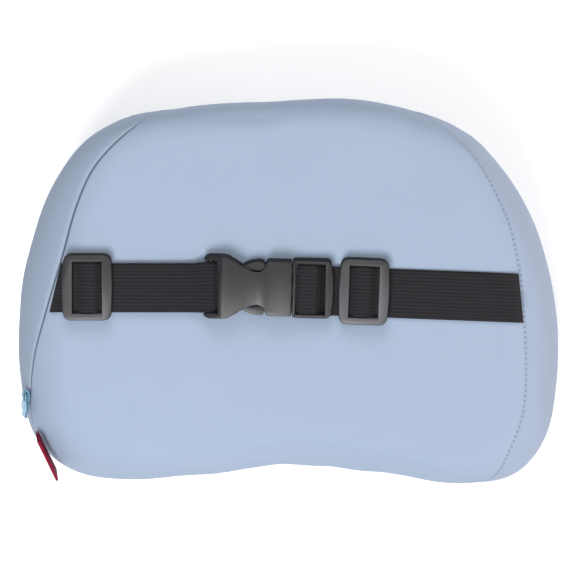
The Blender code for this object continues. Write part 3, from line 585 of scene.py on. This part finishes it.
def tilt_of(direction, kind, value):
    """The tilt of a ring of the plan in one direction."""
    seam = seam_tilt(direction)

    def beside(tilt, offset):
        """The tilt that lies this many millimetres past another."""
        step = (edge_point(direction, tilt + 0.5) - edge_point(direction, tilt - 0.5)).length
        return tilt + offset / step

    if kind == "rear":
        return beside(seam, value)
    if kind == "fore":
        return beside(FRONT_SEAM_TILT, value)
    if kind == "over":
        return beside(seam, -SEAM_REACH) * value
    if kind == "band":
        first = beside(seam, SEAM_REACH)
        return first + (beside(FRONT_SEAM_TILT, -SEAM_REACH) - first) * value
    first = beside(FRONT_SEAM_TILT, SEAM_REACH)
    return first + (180.0 - first) * value


def plan_point(direction, kind, value):
    if kind in ("back", "front"):
        return inner_point(direction, value, kind == "front")
    return edge_point(direction, tilt_of(direction, kind, value))


def ring_mesh(name, columns, plan):
    """A closed skin of rings, with a point at the middle of the back and of the front."""
    bm = bmesh.new()
    loops = []
    for kind, value in plan:
        ring = [plan_point(360.0 * k / columns, kind, value) for k in range(columns)]
        loops.append([bm.verts.new(p * MM) for p in ring])
    top = bm.verts.new(Vector((0.0, 0.0, DEPTH)) * MM)
    foot = bm.verts.new(Vector((0.0, 0.0, front_level(0.0, 0.0))) * MM)
    for upper, lower in zip(loops, loops[1:]):
        for k in range(columns):
            m = (k + 1) % columns
            bm.faces.new((upper[k], lower[k], lower[m], upper[m]))
    for k in range(columns):
        m = (k + 1) % columns
        bm.faces.new((top, loops[0][k], loops[0][m]))
        bm.faces.new((foot, loops[-1][m], loops[-1][k]))
    return mesh_object(name, bm)


def swell_cover(columns, plan, limit):
    """Blows up a coarse copy of the cover with its seams held, and gives how far it moved."""
    form = ring_mesh("cover_swell", columns, plan)
    held = form.vertex_groups.new(name="seams")
    for number, (kind, value) in enumerate(plan):
        if kind in ("rear", "fore") and value == 0.0:
            held.add(range(number * columns, (number + 1) * columns), 1.0, "ADD")
    pick(form)
    cloth = form.modifiers.new("swell", "CLOTH")
    cloth.settings.quality = 6
    cloth.settings.mass = 0.25
    cloth.settings.tension_stiffness = 18.0
    cloth.settings.compression_stiffness = 12.0
    cloth.settings.bending_stiffness = 1.2
    cloth.settings.use_pressure = True
    cloth.settings.uniform_pressure_force = 3.0
    cloth.settings.vertex_group_mass = "seams"
    cloth.settings.effector_weights.gravity = 0.0
    start = [v.co.copy() for v in form.data.vertices]
    scene = bpy.context.scene
    for step in range(SWELL_FRAMES):
        scene.frame_set(step + 1)
    pick(form)
    bpy.ops.object.modifier_apply(modifier=cloth.name)
    scene.frame_set(1)
    moved = []
    for vertex, old in zip(form.data.vertices, start):
        shift = (vertex.co - old) / MM
        if shift.length > limit:
            shift = shift * (limit / shift.length)
        moved.append(shift)
    bpy.data.objects.remove(form, do_unlink=True)
    return moved


def coarse_place(kind, value, plan):
    """Where a fine ring lies between the rings of the coarse plan."""
    order = ("back", "over", "rear", "band", "fore", "under", "front")

    def rank(k, v):
        if k == "front":
            v = 1.0 - v
        if k in ("rear", "fore"):
            v = 0.5 + v / (2 * SEAM_REACH)
        return order.index(k) + v * 0.999

    here = rank(kind, value)
    ranks = [rank(k, v) for k, v in plan]
    for k in range(len(ranks) - 1):
        if ranks[k] <= here <= ranks[k + 1]:
            span = ranks[k + 1] - ranks[k]
            return k, (here - ranks[k]) / span if span else 0.0
    return (0, 0.0) if here < ranks[0] else (len(ranks) - 2, 1.0)


def seam_draw(kind, offset, zipped, sizes):
    """How far the seam draws a ring beside it in."""
    narrow = SEAM_SHARES.get(abs(offset), 0.0)
    broad = CREASE_SHARES.get(abs(offset), 0.0)
    if kind == "fore":
        return broad * sizes.crease_depth * FRONT_CREASE
    if kind == "rear":
        return narrow * sizes.seam_depth * zipped + broad * sizes.crease_depth * (1.0 - zipped)
    return 0.0


def make_cover(sizes):
    plan = ring_plan(True)
    piece = ring_mesh("sewn_cover", COLUMNS, plan)
    coarse = ring_plan(False)
    shifts = None
    shifts = swell_cover(COARSE_COLUMNS, coarse, sizes.swell)
    normals = [v.normal.copy() for v in piece.data.vertices]
    seam_runs = seam_lengths(COLUMNS)
    titles = ("from_seam", "seam_run", "from_front_seam", "stitched", "zipped", "on_band")
    values = {name: [] for name in titles}
    for number, (kind, value) in enumerate(plan):
        low, share = coarse_place(kind, value, coarse)
        for k in range(COLUMNS):
            direction = 360.0 * k / COLUMNS
            index = number * COLUMNS + k
            vertex = piece.data.vertices[index]
            shift = Vector()
            if shifts:
                shift = column_shift(shifts, COARSE_COLUMNS, low, share, direction)
            place = vertex.co / MM + shift * swell_mask(vertex.co / MM)
            tilt = {"back": 0.0, "front": 180.0}.get(kind)
            if tilt is None:
                tilt = tilt_of(direction, kind, value)
            zipped = zip_share(direction)
            place.z += full_lift(direction, tilt, sizes.full)
            depth = seam_draw(kind, value, zipped, sizes)
            depth += edge_dent(place) + soft_folds(place, direction) * sizes.folds
            place -= normals[index] * depth
            place.z = max(0.0, min(place.z, DEPTH + TOP_SLACK))
            vertex.co = place * MM
            values["from_seam"].append(arc_between(direction, seam_tilt(direction), tilt) * MM)
            values["from_front_seam"].append(arc_between(direction, FRONT_SEAM_TILT, tilt) * MM)
            values["seam_run"].append(seam_runs[k] * MM)
            values["stitched"].append(1.0 if direction < 42.0 or direction > 305.0 else 0.0)
            values["zipped"].append(zipped)
            inside = seam_tilt(direction) < tilt < FRONT_SEAM_TILT
            values["on_band"].append(1.0 if inside else 0.0)
    for name, found in values.items():
        # The middles of the back and the front, which are far from every seam
        found += [0.05 if name.startswith("from") else 0.0] * 2
        store(piece, name, found)
    return piece


def swell_mask(place):
    """No swelling under the strap, on the flat of the back, in the hollow and at the floor."""
    foot = clamp(place.z / 12.0)
    if place.z < 60.0 and abs(place.x) < 75.0:
        return step_between(abs(place.x), 35.0, 75.0) * foot
    return min(foot, clamp((DEPTH - place.z) / 8.0))


def zip_share(direction):
    """1 where the seam holds the zip, fading to 0 past the zip's two ends."""
    return step_between(direction, 130.0, 135.0) * (1.0 - step_between(direction, 206.0, 214.0))


def edge_dent(place):
    """The soft dent that runs in from the upper right edge."""
    if place.z < DENT_FOOT:
        return 0.0
    step = place.xy - DENT_MIDDLE
    along = step.dot(DENT_RUN) / DENT_LENGTH
    across = step.dot(Vector((DENT_RUN.y, -DENT_RUN.x))) / DENT_WIDTH
    return DENT_DEPTH * math.exp(-(along**2) - across**2)


def soft_folds(place, direction):
    """Slack in the fabric: slow waves over the back, and folds that run down the side band."""
    wave = noise.noise(place * 0.024 + Vector((3.1, 7.7, 1.3)))
    side = step_between(math.hypot(place.x / WIDTH, place.y / HEIGHT), 0.40, 0.47)
    a = math.radians(direction)
    run = Vector((math.cos(a) * 4.0, math.sin(a) * 4.0, place.z * 0.016))
    fold = noise.noise(run * 1.9 + Vector((5.0, 2.0, 9.0)))
    fine = noise.noise(place * 0.07 + Vector((1.7, 4.2, 6.1)))
    return (0.4 + wave) * 0.25 + side * (fold * 0.7 + fine * 0.35 + 0.2)


def column_shift(shifts, columns, ring, share, direction):
    """The coarse copy's movement, between its rings and its columns."""
    at = direction / 360.0 * columns
    left = int(at) % columns
    part = at - int(at)
    right = (left + 1) % columns
    near = shifts[ring * columns + left].lerp(shifts[ring * columns + right], part)
    far = shifts[(ring + 1) * columns + left].lerp(shifts[(ring + 1) * columns + right], part)
    return near.lerp(far, share)


def arc_between(direction, start, stop):
    """Signed length over the edge from one tilt to another, in millimetres."""
    if abs(stop - start) < 0.0001:
        return 0.0
    steps = max(1, int(abs(stop - start) / 12.0))
    points = [edge_point(direction, start + (stop - start) * k / steps) for k in range(steps + 1)]
    total = sum((b - a).length for a, b in zip(points, points[1:]))
    return total if stop > start else -total


def seam_lengths(columns):
    """Length along the rear seam to each column."""
    found = [0.0]
    for k in range(1, columns):
        a = 360.0 * (k - 1) / columns
        b = 360.0 * k / columns
        found.append(found[-1] + (edge_point(b, seam_tilt(b)) - edge_point(a, seam_tilt(a))).length)
    return found


class PILLOW_OT_cover(bpy.types.Operator):
    """Sews the cover: back, side band and front in one skin with drawn-in seams"""

    bl_idname = "pillow.cover"
    bl_label = "Sewn cover"

    def execute(self, context):
        sizes = context.scene.pillow_cover
        piece = make_cover(sizes)
        dress(piece, cover_finish(sizes))
        apply_modifier(piece, "smooth", "SUBSURF", levels=2, render_levels=2)
        pick(piece)
        bpy.ops.object.shade_smooth()
        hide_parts("back_panel", "side_band", "front_panel")
        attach(piece, body_of("back_panel"))
        return {"FINISHED"}


# Elastic strap


def strap_finish(sizes, name):
    """Black ribbed elastic: knitted ribs with short stitches, a little dusty on the crests, with
    painted shade along its upper edge and in the plug's slot.
    """
    elastic = Finish(name, 0.75, Sheen_Weight=0.12, Sheen_Roughness=0.5, Specular_IOR_Level=0.25)
    across = elastic.stored("across")
    along = elastic.stored("along")
    where = elastic.place()
    rib = ((across * (2.0 * math.pi * sizes.ribs / (STRAP_WIDTH * MM))).wave() + 1.0) * 0.5
    weft = ((along * (2.0 * math.pi / 0.0014)).wave() + 1.0) * 0.5
    stitch = elastic.speckle(elastic.vector(along * 0.45, across, 0.0), 1100.0)
    patch = elastic.speckle(elastic.vector(along * 0.35, across, 0.0), 210.0)
    lint = elastic.speckle(where, 900.0).ramp(0.68, 0.80)
    light = rib.ramp(0.20, 0.95) * 0.38 + weft * 0.14
    light = light + (stitch - 0.5) * 0.9 + (patch - 0.5) * 0.5 + 0.2
    base = elastic.mix(light, paint(sizes.colour, 0.45), paint(sizes.colour, 2.1))
    base = elastic.mix(lint * 0.06, base, paint((0.24, 0.25, 0.28)))
    # Painted shade: the strap's upper edge is painted nearly black
    base = elastic.mix(across.ramp(0.0105, 0.0122) * 0.75, base, paint((0.002, 0.002, 0.003)))
    # Painted shade, nearly black, where the strap dives into the plug's slot
    base = elastic.mix(elastic.stored("slot_shade") * 0.9, base, paint((0.001, 0.001, 0.001)))
    height = rib * 0.8 + weft * 0.3 + stitch * 0.6
    rough = 0.68 + stitch * 0.2
    return elastic.wear(Base_Color=base, Roughness=rough, Normal=elastic.bump(height, 0.00022, 0.8))


def half_turn(x, level, reach, radius, start):
    """Points round a bar, from one angle on through half a turn."""
    angles = [start + math.pi * k / 6 for k in range(7)]
    return [(x + reach * math.cos(a), level + radius * math.sin(a)) for a in angles]


def strap_route(bar, loop, extra, end, level):
    """Middle line of one strap, from its seam inwards, as distances from the pillow's middle.

    It goes under the slide's outer bar, over the middle bar, under the inner bar, round the
    buckle's bar, back along the pillow and round the slide's middle bar, where it is sewn.
    """
    ply = STRAP_THICKNESS
    half_slide = SLIDE_LENGTH / 2
    half_window = SLIDE_WINDOW / 2
    second = LOW + STEP
    crest = LOOP_LEVEL + LOOP_RADIUS
    top = LOW + 2 * END_RADIUS
    far = loop + extra
    route = [(end + DRAPE_STEP, level(end + DRAPE_STEP))]
    place = end
    while place > max(bar + half_slide + ply, end - DRAPE_REACH):
        route.append((place, level(place)))
        place -= DRAPE_STEP
    if end - bar > 2.4 * SLIDE_LENGTH:
        route += [(bar + 3.0 * half_slide, LOW), (bar + 1.7 * half_slide, LOW)]
    route += [(bar + half_slide, level(bar + half_slide)), (bar + 1.1 * half_window, LOW + ply / 2)]
    route += [(bar + 0.55 * half_window, OVER - 1.15 * ply), (bar, OVER)]
    route += [(bar - 0.51 * half_window, OVER - ply / 2)]
    route += [(bar - 0.91 * half_window, second + 0.6 * ply)]
    route += [(bar - 1.24 * half_window, second)]
    if bar - far > 1.6 * SLIDE_LENGTH:
        route += [(bar - 1.7 * half_slide, second), (far + 1.3 * half_slide, second)]
    if extra:
        route += [(far + 4.5 * ply, second), (far + 3.4 * ply, second + 0.4 * ply)]
        route += [(far + 2.8 * ply, second + 1.2 * ply), (far + 2.3 * ply, crest - 0.5 * ply)]
        route += [(far + 1.3 * ply, crest), (loop + extra / 2, crest)]
    else:
        route += [(far + 12.0 * ply, second), (far + 9.5 * ply, second + 0.2 * ply)]
        route += [(far + 3.5 * ply, crest - 0.2 * ply), (far + 1.0 * ply, crest)]
    reach = LOOP_RADIUS * (PLUG_REACH if extra else SOCKET_REACH)
    route += half_turn(loop, LOOP_LEVEL, reach, LOOP_RADIUS, math.pi / 2)
    route += [(loop + 3.3 * ply, LOW)]
    if bar - far > 1.6 * SLIDE_LENGTH:
        route += [(far + 1.3 * half_slide, LOW), (bar - 1.7 * half_slide, LOW)]
    route += [(bar - half_slide / 2, LOW)]
    half = MIDDLE_BAR_LENGTH / 2 - MIDDLE_BAR_HEIGHT / 2
    route += half_turn(bar + half, LOW + END_RADIUS, END_RADIUS, END_RADIUS, -math.pi / 2)
    route += [(bar - half, top), (bar - half - 1.3 * ply, top - 0.4 * ply)]
    route += [(bar - half - 2.2 * ply, top - 0.9 * ply)]
    return route


def sample(route, spacing):
    """Points along a smooth line through the route, about evenly spaced."""
    points = [Vector(p) for p in route]
    points = [points[0] * 2 - points[1]] + points + [points[-1] * 2 - points[-2]]
    found = []
    for p0, p1, p2, p3 in zip(points, points[1:], points[2:], points[3:]):
        length = (p2 - p1).length
        steps = max(2, int(math.ceil(length / spacing)))
        before = max((p1 - p0).length, 0.001)
        after = max((p3 - p2).length, 0.001)
        slope1 = ((p2 - p1) / length + (p1 - p0) / before) / 2 * length
        slope2 = ((p3 - p2) / after + (p2 - p1) / length) / 2 * length
        for k in range(steps):
            first, rise, second, fall = hermite(k / steps)
            found.append(p1 * first + slope1 * rise + p2 * second + slope2 * fall)
    found.append(points[-2])
    return found


def strap_section(sizes):
    """The elastic's cut across its width: ribs on both faces and round edges, as (y, height)."""
    half = STRAP_WIDTH / 2 - 0.25
    steps = sizes.ribs * 6
    face = []
    for k in range(steps + 1):
        y = -half + 2 * half * k / steps
        rise = sizes.rib_height * (0.5 - 0.5 * math.cos(2 * math.pi * sizes.ribs * k / steps))
        body = STRAP_THICKNESS / 2 * (1.0 - 0.5 * (abs(y) / half) ** 9)
        face.append((y, body - sizes.rib_height + rise))
    edge = [(half + 0.2, 0.18), (half + 0.25, 0.0), (half + 0.2, -0.18)]
    return face + edge + [(y, -h) for y, h in reversed(face)] + [(-y, -h) for y, h in edge]


def make_strap(name, side, bar, loop, extra, end, seat, sizes):
    """One length of elastic along its route, with its place along and across it kept."""

    def lift(x, y):
        place = seat @ Vector((side * x, y, 0.0))
        return back_level(place.x, place.y) - DEPTH

    def level(x):
        return LOW + lift(x, 0.0)

    line = sample(strap_route(bar, loop, extra, end, level), 1.5)
    profile = strap_section(sizes)
    bm = bmesh.new()
    loops = []
    along = []
    run = 0.0
    last = len(line) - 1
    for k, p in enumerate(line):
        heading = (line[min(k + 1, last)] - line[max(k - 1, 0)]).normalized()
        square = Vector((-heading.y, heading.x))
        ring = []
        spread = max(
            1.0 - step_between(abs(p.x - bar), SLIDE_WINDOW / 2, SLIDE_LENGTH / 2),
            1.0 - step_between(abs(p.x - loop - extra / 2), 5.0 + extra, 9.0 + extra),
        )
        for y, height in profile:
            y *= 1.0 + spread * (UPPER_SPREAD if y > 0.0 else LOWER_SPREAD)
            q = p + square * height
            shape = lift(q.x, y) - lift(q.x, 0.0)
            place = seat @ Vector((side * q.x, y, q.y + shape))
            ring.append(bm.verts.new(place * MM))
        loops.append(ring)
        if k:
            run += (p - line[k - 1]).length
        along.append(run)
    count = len(profile)
    for first, second in zip(loops, loops[1:]):
        for k in range(count):
            m = (k + 1) % count
            bm.faces.new((first[k], first[m], second[m], second[k]))
    bm.faces.new(list(reversed(loops[0])))
    bm.faces.new(loops[-1])
    bmesh.ops.recalc_face_normals(bm, faces=bm.faces)
    piece = mesh_object(name, bm)
    dive = loop + extra + 2.2 * STRAP_THICKNESS
    points = range(len(piece.data.vertices))
    # Marks where the strap dives into the plug's slot, for its finish to paint shade there
    slot_shade = [1.0 if extra and dive < p.x < dive + 5.0 else 0.0 for p in line]
    store(piece, "slot_shade", [slot_shade[v // count] for v in points])
    store(piece, "across", [profile[v % count][0] * MM for v in points])
    store(piece, "along", [along[v // count] * MM for v in points])
    return piece


def trim_strap(piece, side, end, slant, seat):
    """Cuts the strap's end along the seam that it is sewn into."""
    middle = seat @ Vector((side * end, 0.0, LOW))
    heading = math.radians(slant) + (0.0 if side > 0 else math.pi)
    normal = Vector((math.cos(heading), math.sin(heading), 0.0))
    edit_mode(piece)
    bpy.ops.mesh.bisect(
        plane_co=middle * MM, plane_no=normal, use_fill=True, clear_outer=True, threshold=0.01 * MM
    )
    bpy.ops.object.mode_set(mode="OBJECT")


class PILLOW_OT_straps(bpy.types.Operator):
    """Threads both lengths of ribbed elastic through the slides and round the buckle's bars"""

    bl_idname = "pillow.straps"
    bl_label = "Elastic straps"

    def execute(self, context):
        sizes = context.scene.pillow_strap
        turn = Matrix.Rotation(math.radians(RIGHT_STRAP_TURN), 4, "Z")
        plans = (
            ("left_strap", -1, LEFT_SLIDE_X, SOCKET_LOOP_X, 0.0, LEFT_STRAP_END,
             LEFT_STRAP_SLANT, Matrix.Translation((0.0, LEFT_STRAP_Y, 0.0))),
            ("right_strap", 1, RIGHT_SLIDE_X, PLUG_LOOP_X, PLUG_LOOP_EXTRA, RIGHT_STRAP_END,
             RIGHT_STRAP_SLANT, Matrix.Translation((0.0, RIGHT_STRAP_Y, 0.0)) @ turn),
        )
        for node, side, bar, loop, extra, end, slant, seat in plans:
            piece = make_strap(f"{node}_elastic", side, bar, loop, extra, end, seat, sizes)
            trim_strap(piece, side, end + SEWN_IN, slant, seat)
            dress(piece, strap_finish(sizes, f"{node}_elastic"))
            smooth_by_angle(piece, 50.0)
            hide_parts(node)
            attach(piece, body_of(node))
        return {"FINISHED"}


# Buckle and slides


def plastic_finish(sizes, name, tone):
    """Moulded plastic with a fine spark-eroded grain, rubbed lighter here and there, with painted
    shade on its upper side and side walls.
    """
    plastic = Finish(name, 0.42, Specular_IOR_Level=0.45)
    where = plastic.place()
    grain = plastic.speckle(where, 2600.0, 3.0)
    cloud = plastic.speckle(where, 70.0, 3.0)
    scuff = plastic.speckle(
        plastic.node("ShaderNodeMapping", values={"Vector": where, "Scale": (60.0, 900.0, 400.0)}),
        1.0, 3.0,
    ).ramp(0.62, 0.80)
    # tone scales the piece lighter as painted sheen
    dark = paint(sizes.colour, 1.15 * tone)
    light = paint(sizes.colour, 1.75 * tone)
    base = plastic.mix(cloud, dark, light)
    base = plastic.mix(scuff * 0.16, base, paint((0.17, 0.17, 0.18)))
    # Painted reflection and shade: darker towards its upper edge and lighter towards the foot,
    # where the low light reflects; and painted shade, nearly black, on its side walls
    upper = plastic.axis(where, "Y").ramp(-0.013, 0.014)
    base = plastic.mix(upper * 0.6, base, paint((0.004, 0.004, 0.005)))
    wall = plastic.stored("wall").ramp(0.04, 0.3)
    base = plastic.mix(wall * 0.95, base, paint((0.001, 0.001, 0.001)))
    rough = 0.36 + cloud * 0.12 + scuff * 0.12 + wall * 0.4
    return plastic.wear(Base_Color=base, Roughness=rough, Normal=plastic.bump(grain, 0.00006, 0.5))


def bevel(piece, width, segments, degrees):
    apply_modifier(
        piece, "edges", "BEVEL", width=width * MM, segments=segments, limit_method="ANGLE",
        angle_limit=math.radians(degrees),
    )


def rounded_piece(node, name, width):
    """A CAD node's shape with its moulded edges rounded.

    It keeps how far each point's surface leans away from the piece's broad face.
    """
    piece = node_copy(node, name)
    bevel(piece, width, 2, 35.0)
    smooth_by_angle(piece, 38.0)
    broad = max(piece.data.polygons, key=lambda face: face.area).normal.copy()
    # The plastic's finish paints shade on the side walls from this lean
    store(piece, "wall", [1.0 - abs(v.normal.dot(broad)) for v in piece.data.vertices])
    return piece


def draft_side(piece, amount):
    """Slopes a fitting's upper side outwards, from under its rounded top edge to its foot."""
    turn = Matrix.Rotation(math.radians(-BUCKLE_TURN), 4, "Z")
    there = turn @ Matrix.Translation((0.0, -BUCKLE_Y, 0.0))
    back = there.inverted()
    levels = [v.co.z for v in piece.data.vertices]
    top = max(levels)
    foot = min(levels)
    for vertex in piece.data.vertices:
        place = there @ (vertex.co / MM)
        drop = (top - vertex.co.z) / (top - foot)
        share = step_between(drop, 0.10, 0.55) * step_between(place.y, 3.0, 12.0)
        place.y += amount * share
        vertex.co = (back @ place) * MM


class PILLOW_OT_fittings(bpy.types.Operator):
    """Finishes the buckle's two halves and both slides in moulded plastic"""

    bl_idname = "pillow.fittings"
    bl_label = "Buckle and slides"

    def execute(self, context):
        sizes = context.scene.pillow_fitting
        # Painted sheen: the plug and slides are painted lighter than the socket, for the light
        # their rounded bars reflect
        painted_sheen_tones = {"buckle_socket": 1.0, "buckle_plug": 1.25, "left_slide": 1.6, "right_slide": 2.6}
        for node, tone in painted_sheen_tones.items():
            piece = rounded_piece(node, f"{node}_moulded", sizes.edge)
            draft_side(piece, sizes.draft * (1.0 if node.startswith("buckle") else SLIDE_LEAN))
            dress(piece, plastic_finish(sizes, f"{node}_plastic", tone))
            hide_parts(node)
            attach(piece, body_of(node))
        return {"FINISHED"}


# Zip, label and what is inside


def pull_finish(sizes):
    """Glossy pale blue with a darker edge."""
    gloss = Finish("pull_gloss", 0.3, Coat_Weight=0.3)
    where = gloss.place()
    cloud = gloss.speckle(where, 400.0)
    base = gloss.mix(cloud * 0.3, paint(sizes.colour), paint(sizes.colour, 0.7))
    base = gloss.mix(gloss.stored("wall").ramp(0.03, 0.5) * 0.85, base, paint(sizes.rim_colour))
    return gloss.wear(Base_Color=base, Roughness=0.28 + cloud * 0.1)


def slider_finish(sizes):
    """Painted metal in the pull's two colours, clouded."""
    metal = Finish("slider_paint", 0.35)
    where = metal.place()
    cloud = metal.speckle(where, 700.0, 3.0)
    face = paint(sizes.colour, 0.7)
    base = metal.mix(cloud.ramp(0.4, 0.7), face, paint(sizes.rim_colour))
    return metal.wear(Base_Color=base, Roughness=0.3 + cloud * 0.2)


class PILLOW_OT_zip(bpy.types.Operator):
    """Finishes the zip's slider and pull"""

    bl_idname = "pillow.zip"
    bl_label = "Zip slider and pull"

    def execute(self, context):
        sizes = context.scene.pillow_zip
        pull = rounded_piece("zip_pull", "zip_pull_moulded", 0.22)
        dress(pull, pull_finish(sizes))
        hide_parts("zip_pull")
        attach(pull, body_of("zip_pull"))
        slider = rounded_piece("zip_slider", "zip_slider_cast", 0.15)
        dress(slider, slider_finish(sizes))
        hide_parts("zip_slider")
        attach(slider, body_of("zip_slider"))
        tape = Finish("zip_tape_weave", 0.85)
        where = tape.place()
        twill = tape.speckle(where, 1400.0)
        base = tape.mix(twill, paint((0.30, 0.37, 0.50)), paint((0.42, 0.50, 0.64)))
        made = tape.wear(Base_Color=base, Normal=tape.bump(twill, 0.0002, 0.6))
        for node in ("zip_tape_back", "zip_tape_side"):
            dress(NODES[node], made)
        return {"FINISHED"}


def label_finish(sizes):
    """Woven ribbon, with fine rows across it."""
    ribbon = Finish("label_ribbon", 0.6, Specular_IOR_Level=0.15)
    where = ribbon.place()
    height = ribbon.axis(where, "Z")
    rows = ((height * (2.0 * math.pi / 0.0007)).wave() + 1.0) * 0.5
    thread = ribbon.speckle(where, 1600.0)
    dark = paint(sizes.colour, 0.75)
    light = paint(sizes.colour, 1.25)
    base = ribbon.mix(rows * 0.4 + thread * 0.4, dark, light)
    return ribbon.wear(Base_Color=base, Normal=ribbon.bump(rows + thread, 0.0002, 0.6))


class PILLOW_OT_label(bpy.types.Operator):
    """Finishes the folded label in the corner of the seam"""

    bl_idname = "pillow.label"
    bl_label = "Folded label"

    def execute(self, context):
        sizes = context.scene.pillow_label
        piece = node_copy("label_tag", "label_ribbon")
        dress(piece, label_finish(sizes))
        bevel(piece, 0.12, 1, 50.0)
        smooth_by_angle(piece, 50.0)
        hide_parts("label_tag")
        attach(piece, body_of("label_tag"))
        return {"FINISHED"}


class PILLOW_OT_foam(bpy.types.Operator):
    """Gives the foam inside the cover its open-cell finish"""

    bl_idname = "pillow.foam"
    bl_label = "Foam core"

    def execute(self, context):
        foam = Finish("open_cell_foam", 0.95)
        cells = foam.node("ShaderNodeTexVoronoi", values={"Vector": foam.place(), "Scale": 900.0})
        base = foam.mix(cells, paint((0.80, 0.78, 0.66)), paint((0.88, 0.87, 0.78)))
        dress(NODES["foam_core"], foam.wear(Base_Color=base, Normal=foam.bump(cells, 0.0004, 0.7)))
        return {"FINISHED"}


# Stage


# In metres
LIGHT_AIM = Vector((0.0, 0.0, 0.05))
CAMERA_PLACE = (-0.00185, 0.0031, 1.248)
FLOOR_LEVEL = -0.0006


def area_light(name, place, size, power, colour=(1.0, 1.0, 1.0)):
    """A round soft light that faces the pillow's middle and isn't seen itself."""
    light = bpy.data.lights.new(name, "AREA")
    light.shape = "DISK"
    light.size = size
    light.energy = power
    light.color = colour
    holder = new_object(name, light)
    holder.location = place
    holder.rotation_mode = "QUATERNION"
    holder.rotation_quaternion = (LIGHT_AIM - Vector(place)).to_track_quat("-Z", "Y")
    holder.visible_camera = False


class PILLOW_OT_stage(bpy.types.Operator):
    """Sets the pale floor, the soft lights and the camera above the pillow"""

    bl_idname = "pillow.stage"
    bl_label = "Stage"

    def execute(self, context):
        sizes = context.scene.pillow_stage
        pick_nothing()
        bpy.ops.mesh.primitive_plane_add(size=9.0, location=(0.0, 0.0, FLOOR_LEVEL))
        floor = context.object
        floor.name = "floor"
        pale = Finish(
            "pale_floor", 0.9, Specular_IOR_Level=0.1, Base_Color=paint(sizes.floor),
            Emission_Color=paint((1.0, 1.0, 1.0)), Emission_Strength=sizes.glow,
        )
        dress(floor, pale.material)
        world = bpy.data.worlds.new("studio")
        world.use_nodes = True
        sky = world.node_tree.nodes["Background"]
        sky.inputs["Color"].default_value = (0.95, 0.97, 1.0, 1.0)
        sky.inputs["Strength"].default_value = sizes.sky
        context.scene.world = world
        area_light("key", (-0.24, -0.70, 1.19), 0.62, sizes.key)
        area_light("overhead", (0.0, 0.0, 1.65), 1.6, sizes.overhead)
        area_light("front", (0.102, -1.164, 0.62), 0.5, sizes.front)
        area_light("side", (1.198, 0.0, 0.283), 0.6, sizes.side, (1.0, 0.89, 0.85))
        area_light("head", (-0.093, 1.068, 0.95), 1.0, sizes.head)
        lens = bpy.data.cameras.new("camera")
        lens.lens = sizes.lens
        lens.clip_start = 0.05
        lens.clip_end = 50.0
        camera = new_object("camera", lens)
        camera.location = CAMERA_PLACE
        context.scene.camera = camera
        context.scene.view_settings.view_transform = "Standard"
        return {"FINISHED"}


class PILLOW_PT_panel(bpy.types.Panel):
    """Lists the pillow's pieces."""

    bl_idname = "PILLOW_PT_panel"
    bl_label = "Travel neck pillow"
    bl_space_type = "VIEW_3D"
    bl_region_type = "UI"
    bl_category = "Pillow"

    def draw(self, context):
        for title, _, operators in PANEL_ROWS:
            group = getattr(context.scene, title)
            box = self.layout.box()
            for name in group.__annotations__:
                box.prop(group, name)
            for item in operators:
                box.operator(item.bl_idname)


PANEL_ROWS = (
    ("pillow_cover", CoverSizes, (PILLOW_OT_cover, PILLOW_OT_foam)),
    ("pillow_strap", StrapSizes, (PILLOW_OT_straps,)),
    ("pillow_fitting", FittingSizes, (PILLOW_OT_fittings,)),
    ("pillow_zip", ZipSizes, (PILLOW_OT_zip,)),
    ("pillow_label", LabelSizes, (PILLOW_OT_label,)),
    ("pillow_stage", StageSizes, (PILLOW_OT_stage,)),
)


def register():
    for title, group, operators in PANEL_ROWS:
        bpy.utils.register_class(group)
        setattr(bpy.types.Scene, title, bpy.props.PointerProperty(type=group))
        for item in operators:
            bpy.utils.register_class(item)
    bpy.utils.register_class(PILLOW_PT_panel)


def unregister():
    bpy.utils.unregister_class(PILLOW_PT_panel)
    for title, group, operators in reversed(PANEL_ROWS):
        for item in reversed(operators):
            bpy.utils.unregister_class(item)
        delattr(bpy.types.Scene, title)
        bpy.utils.unregister_class(group)


def main():
    register()
    bpy.ops.pillow.stage()
    bpy.ops.pillow.foam()
    bpy.ops.pillow.cover()
    bpy.ops.pillow.straps()
    bpy.ops.pillow.fittings()
    bpy.ops.pillow.zip()
    bpy.ops.pillow.label()


if __name__ == "__main__":
    main()
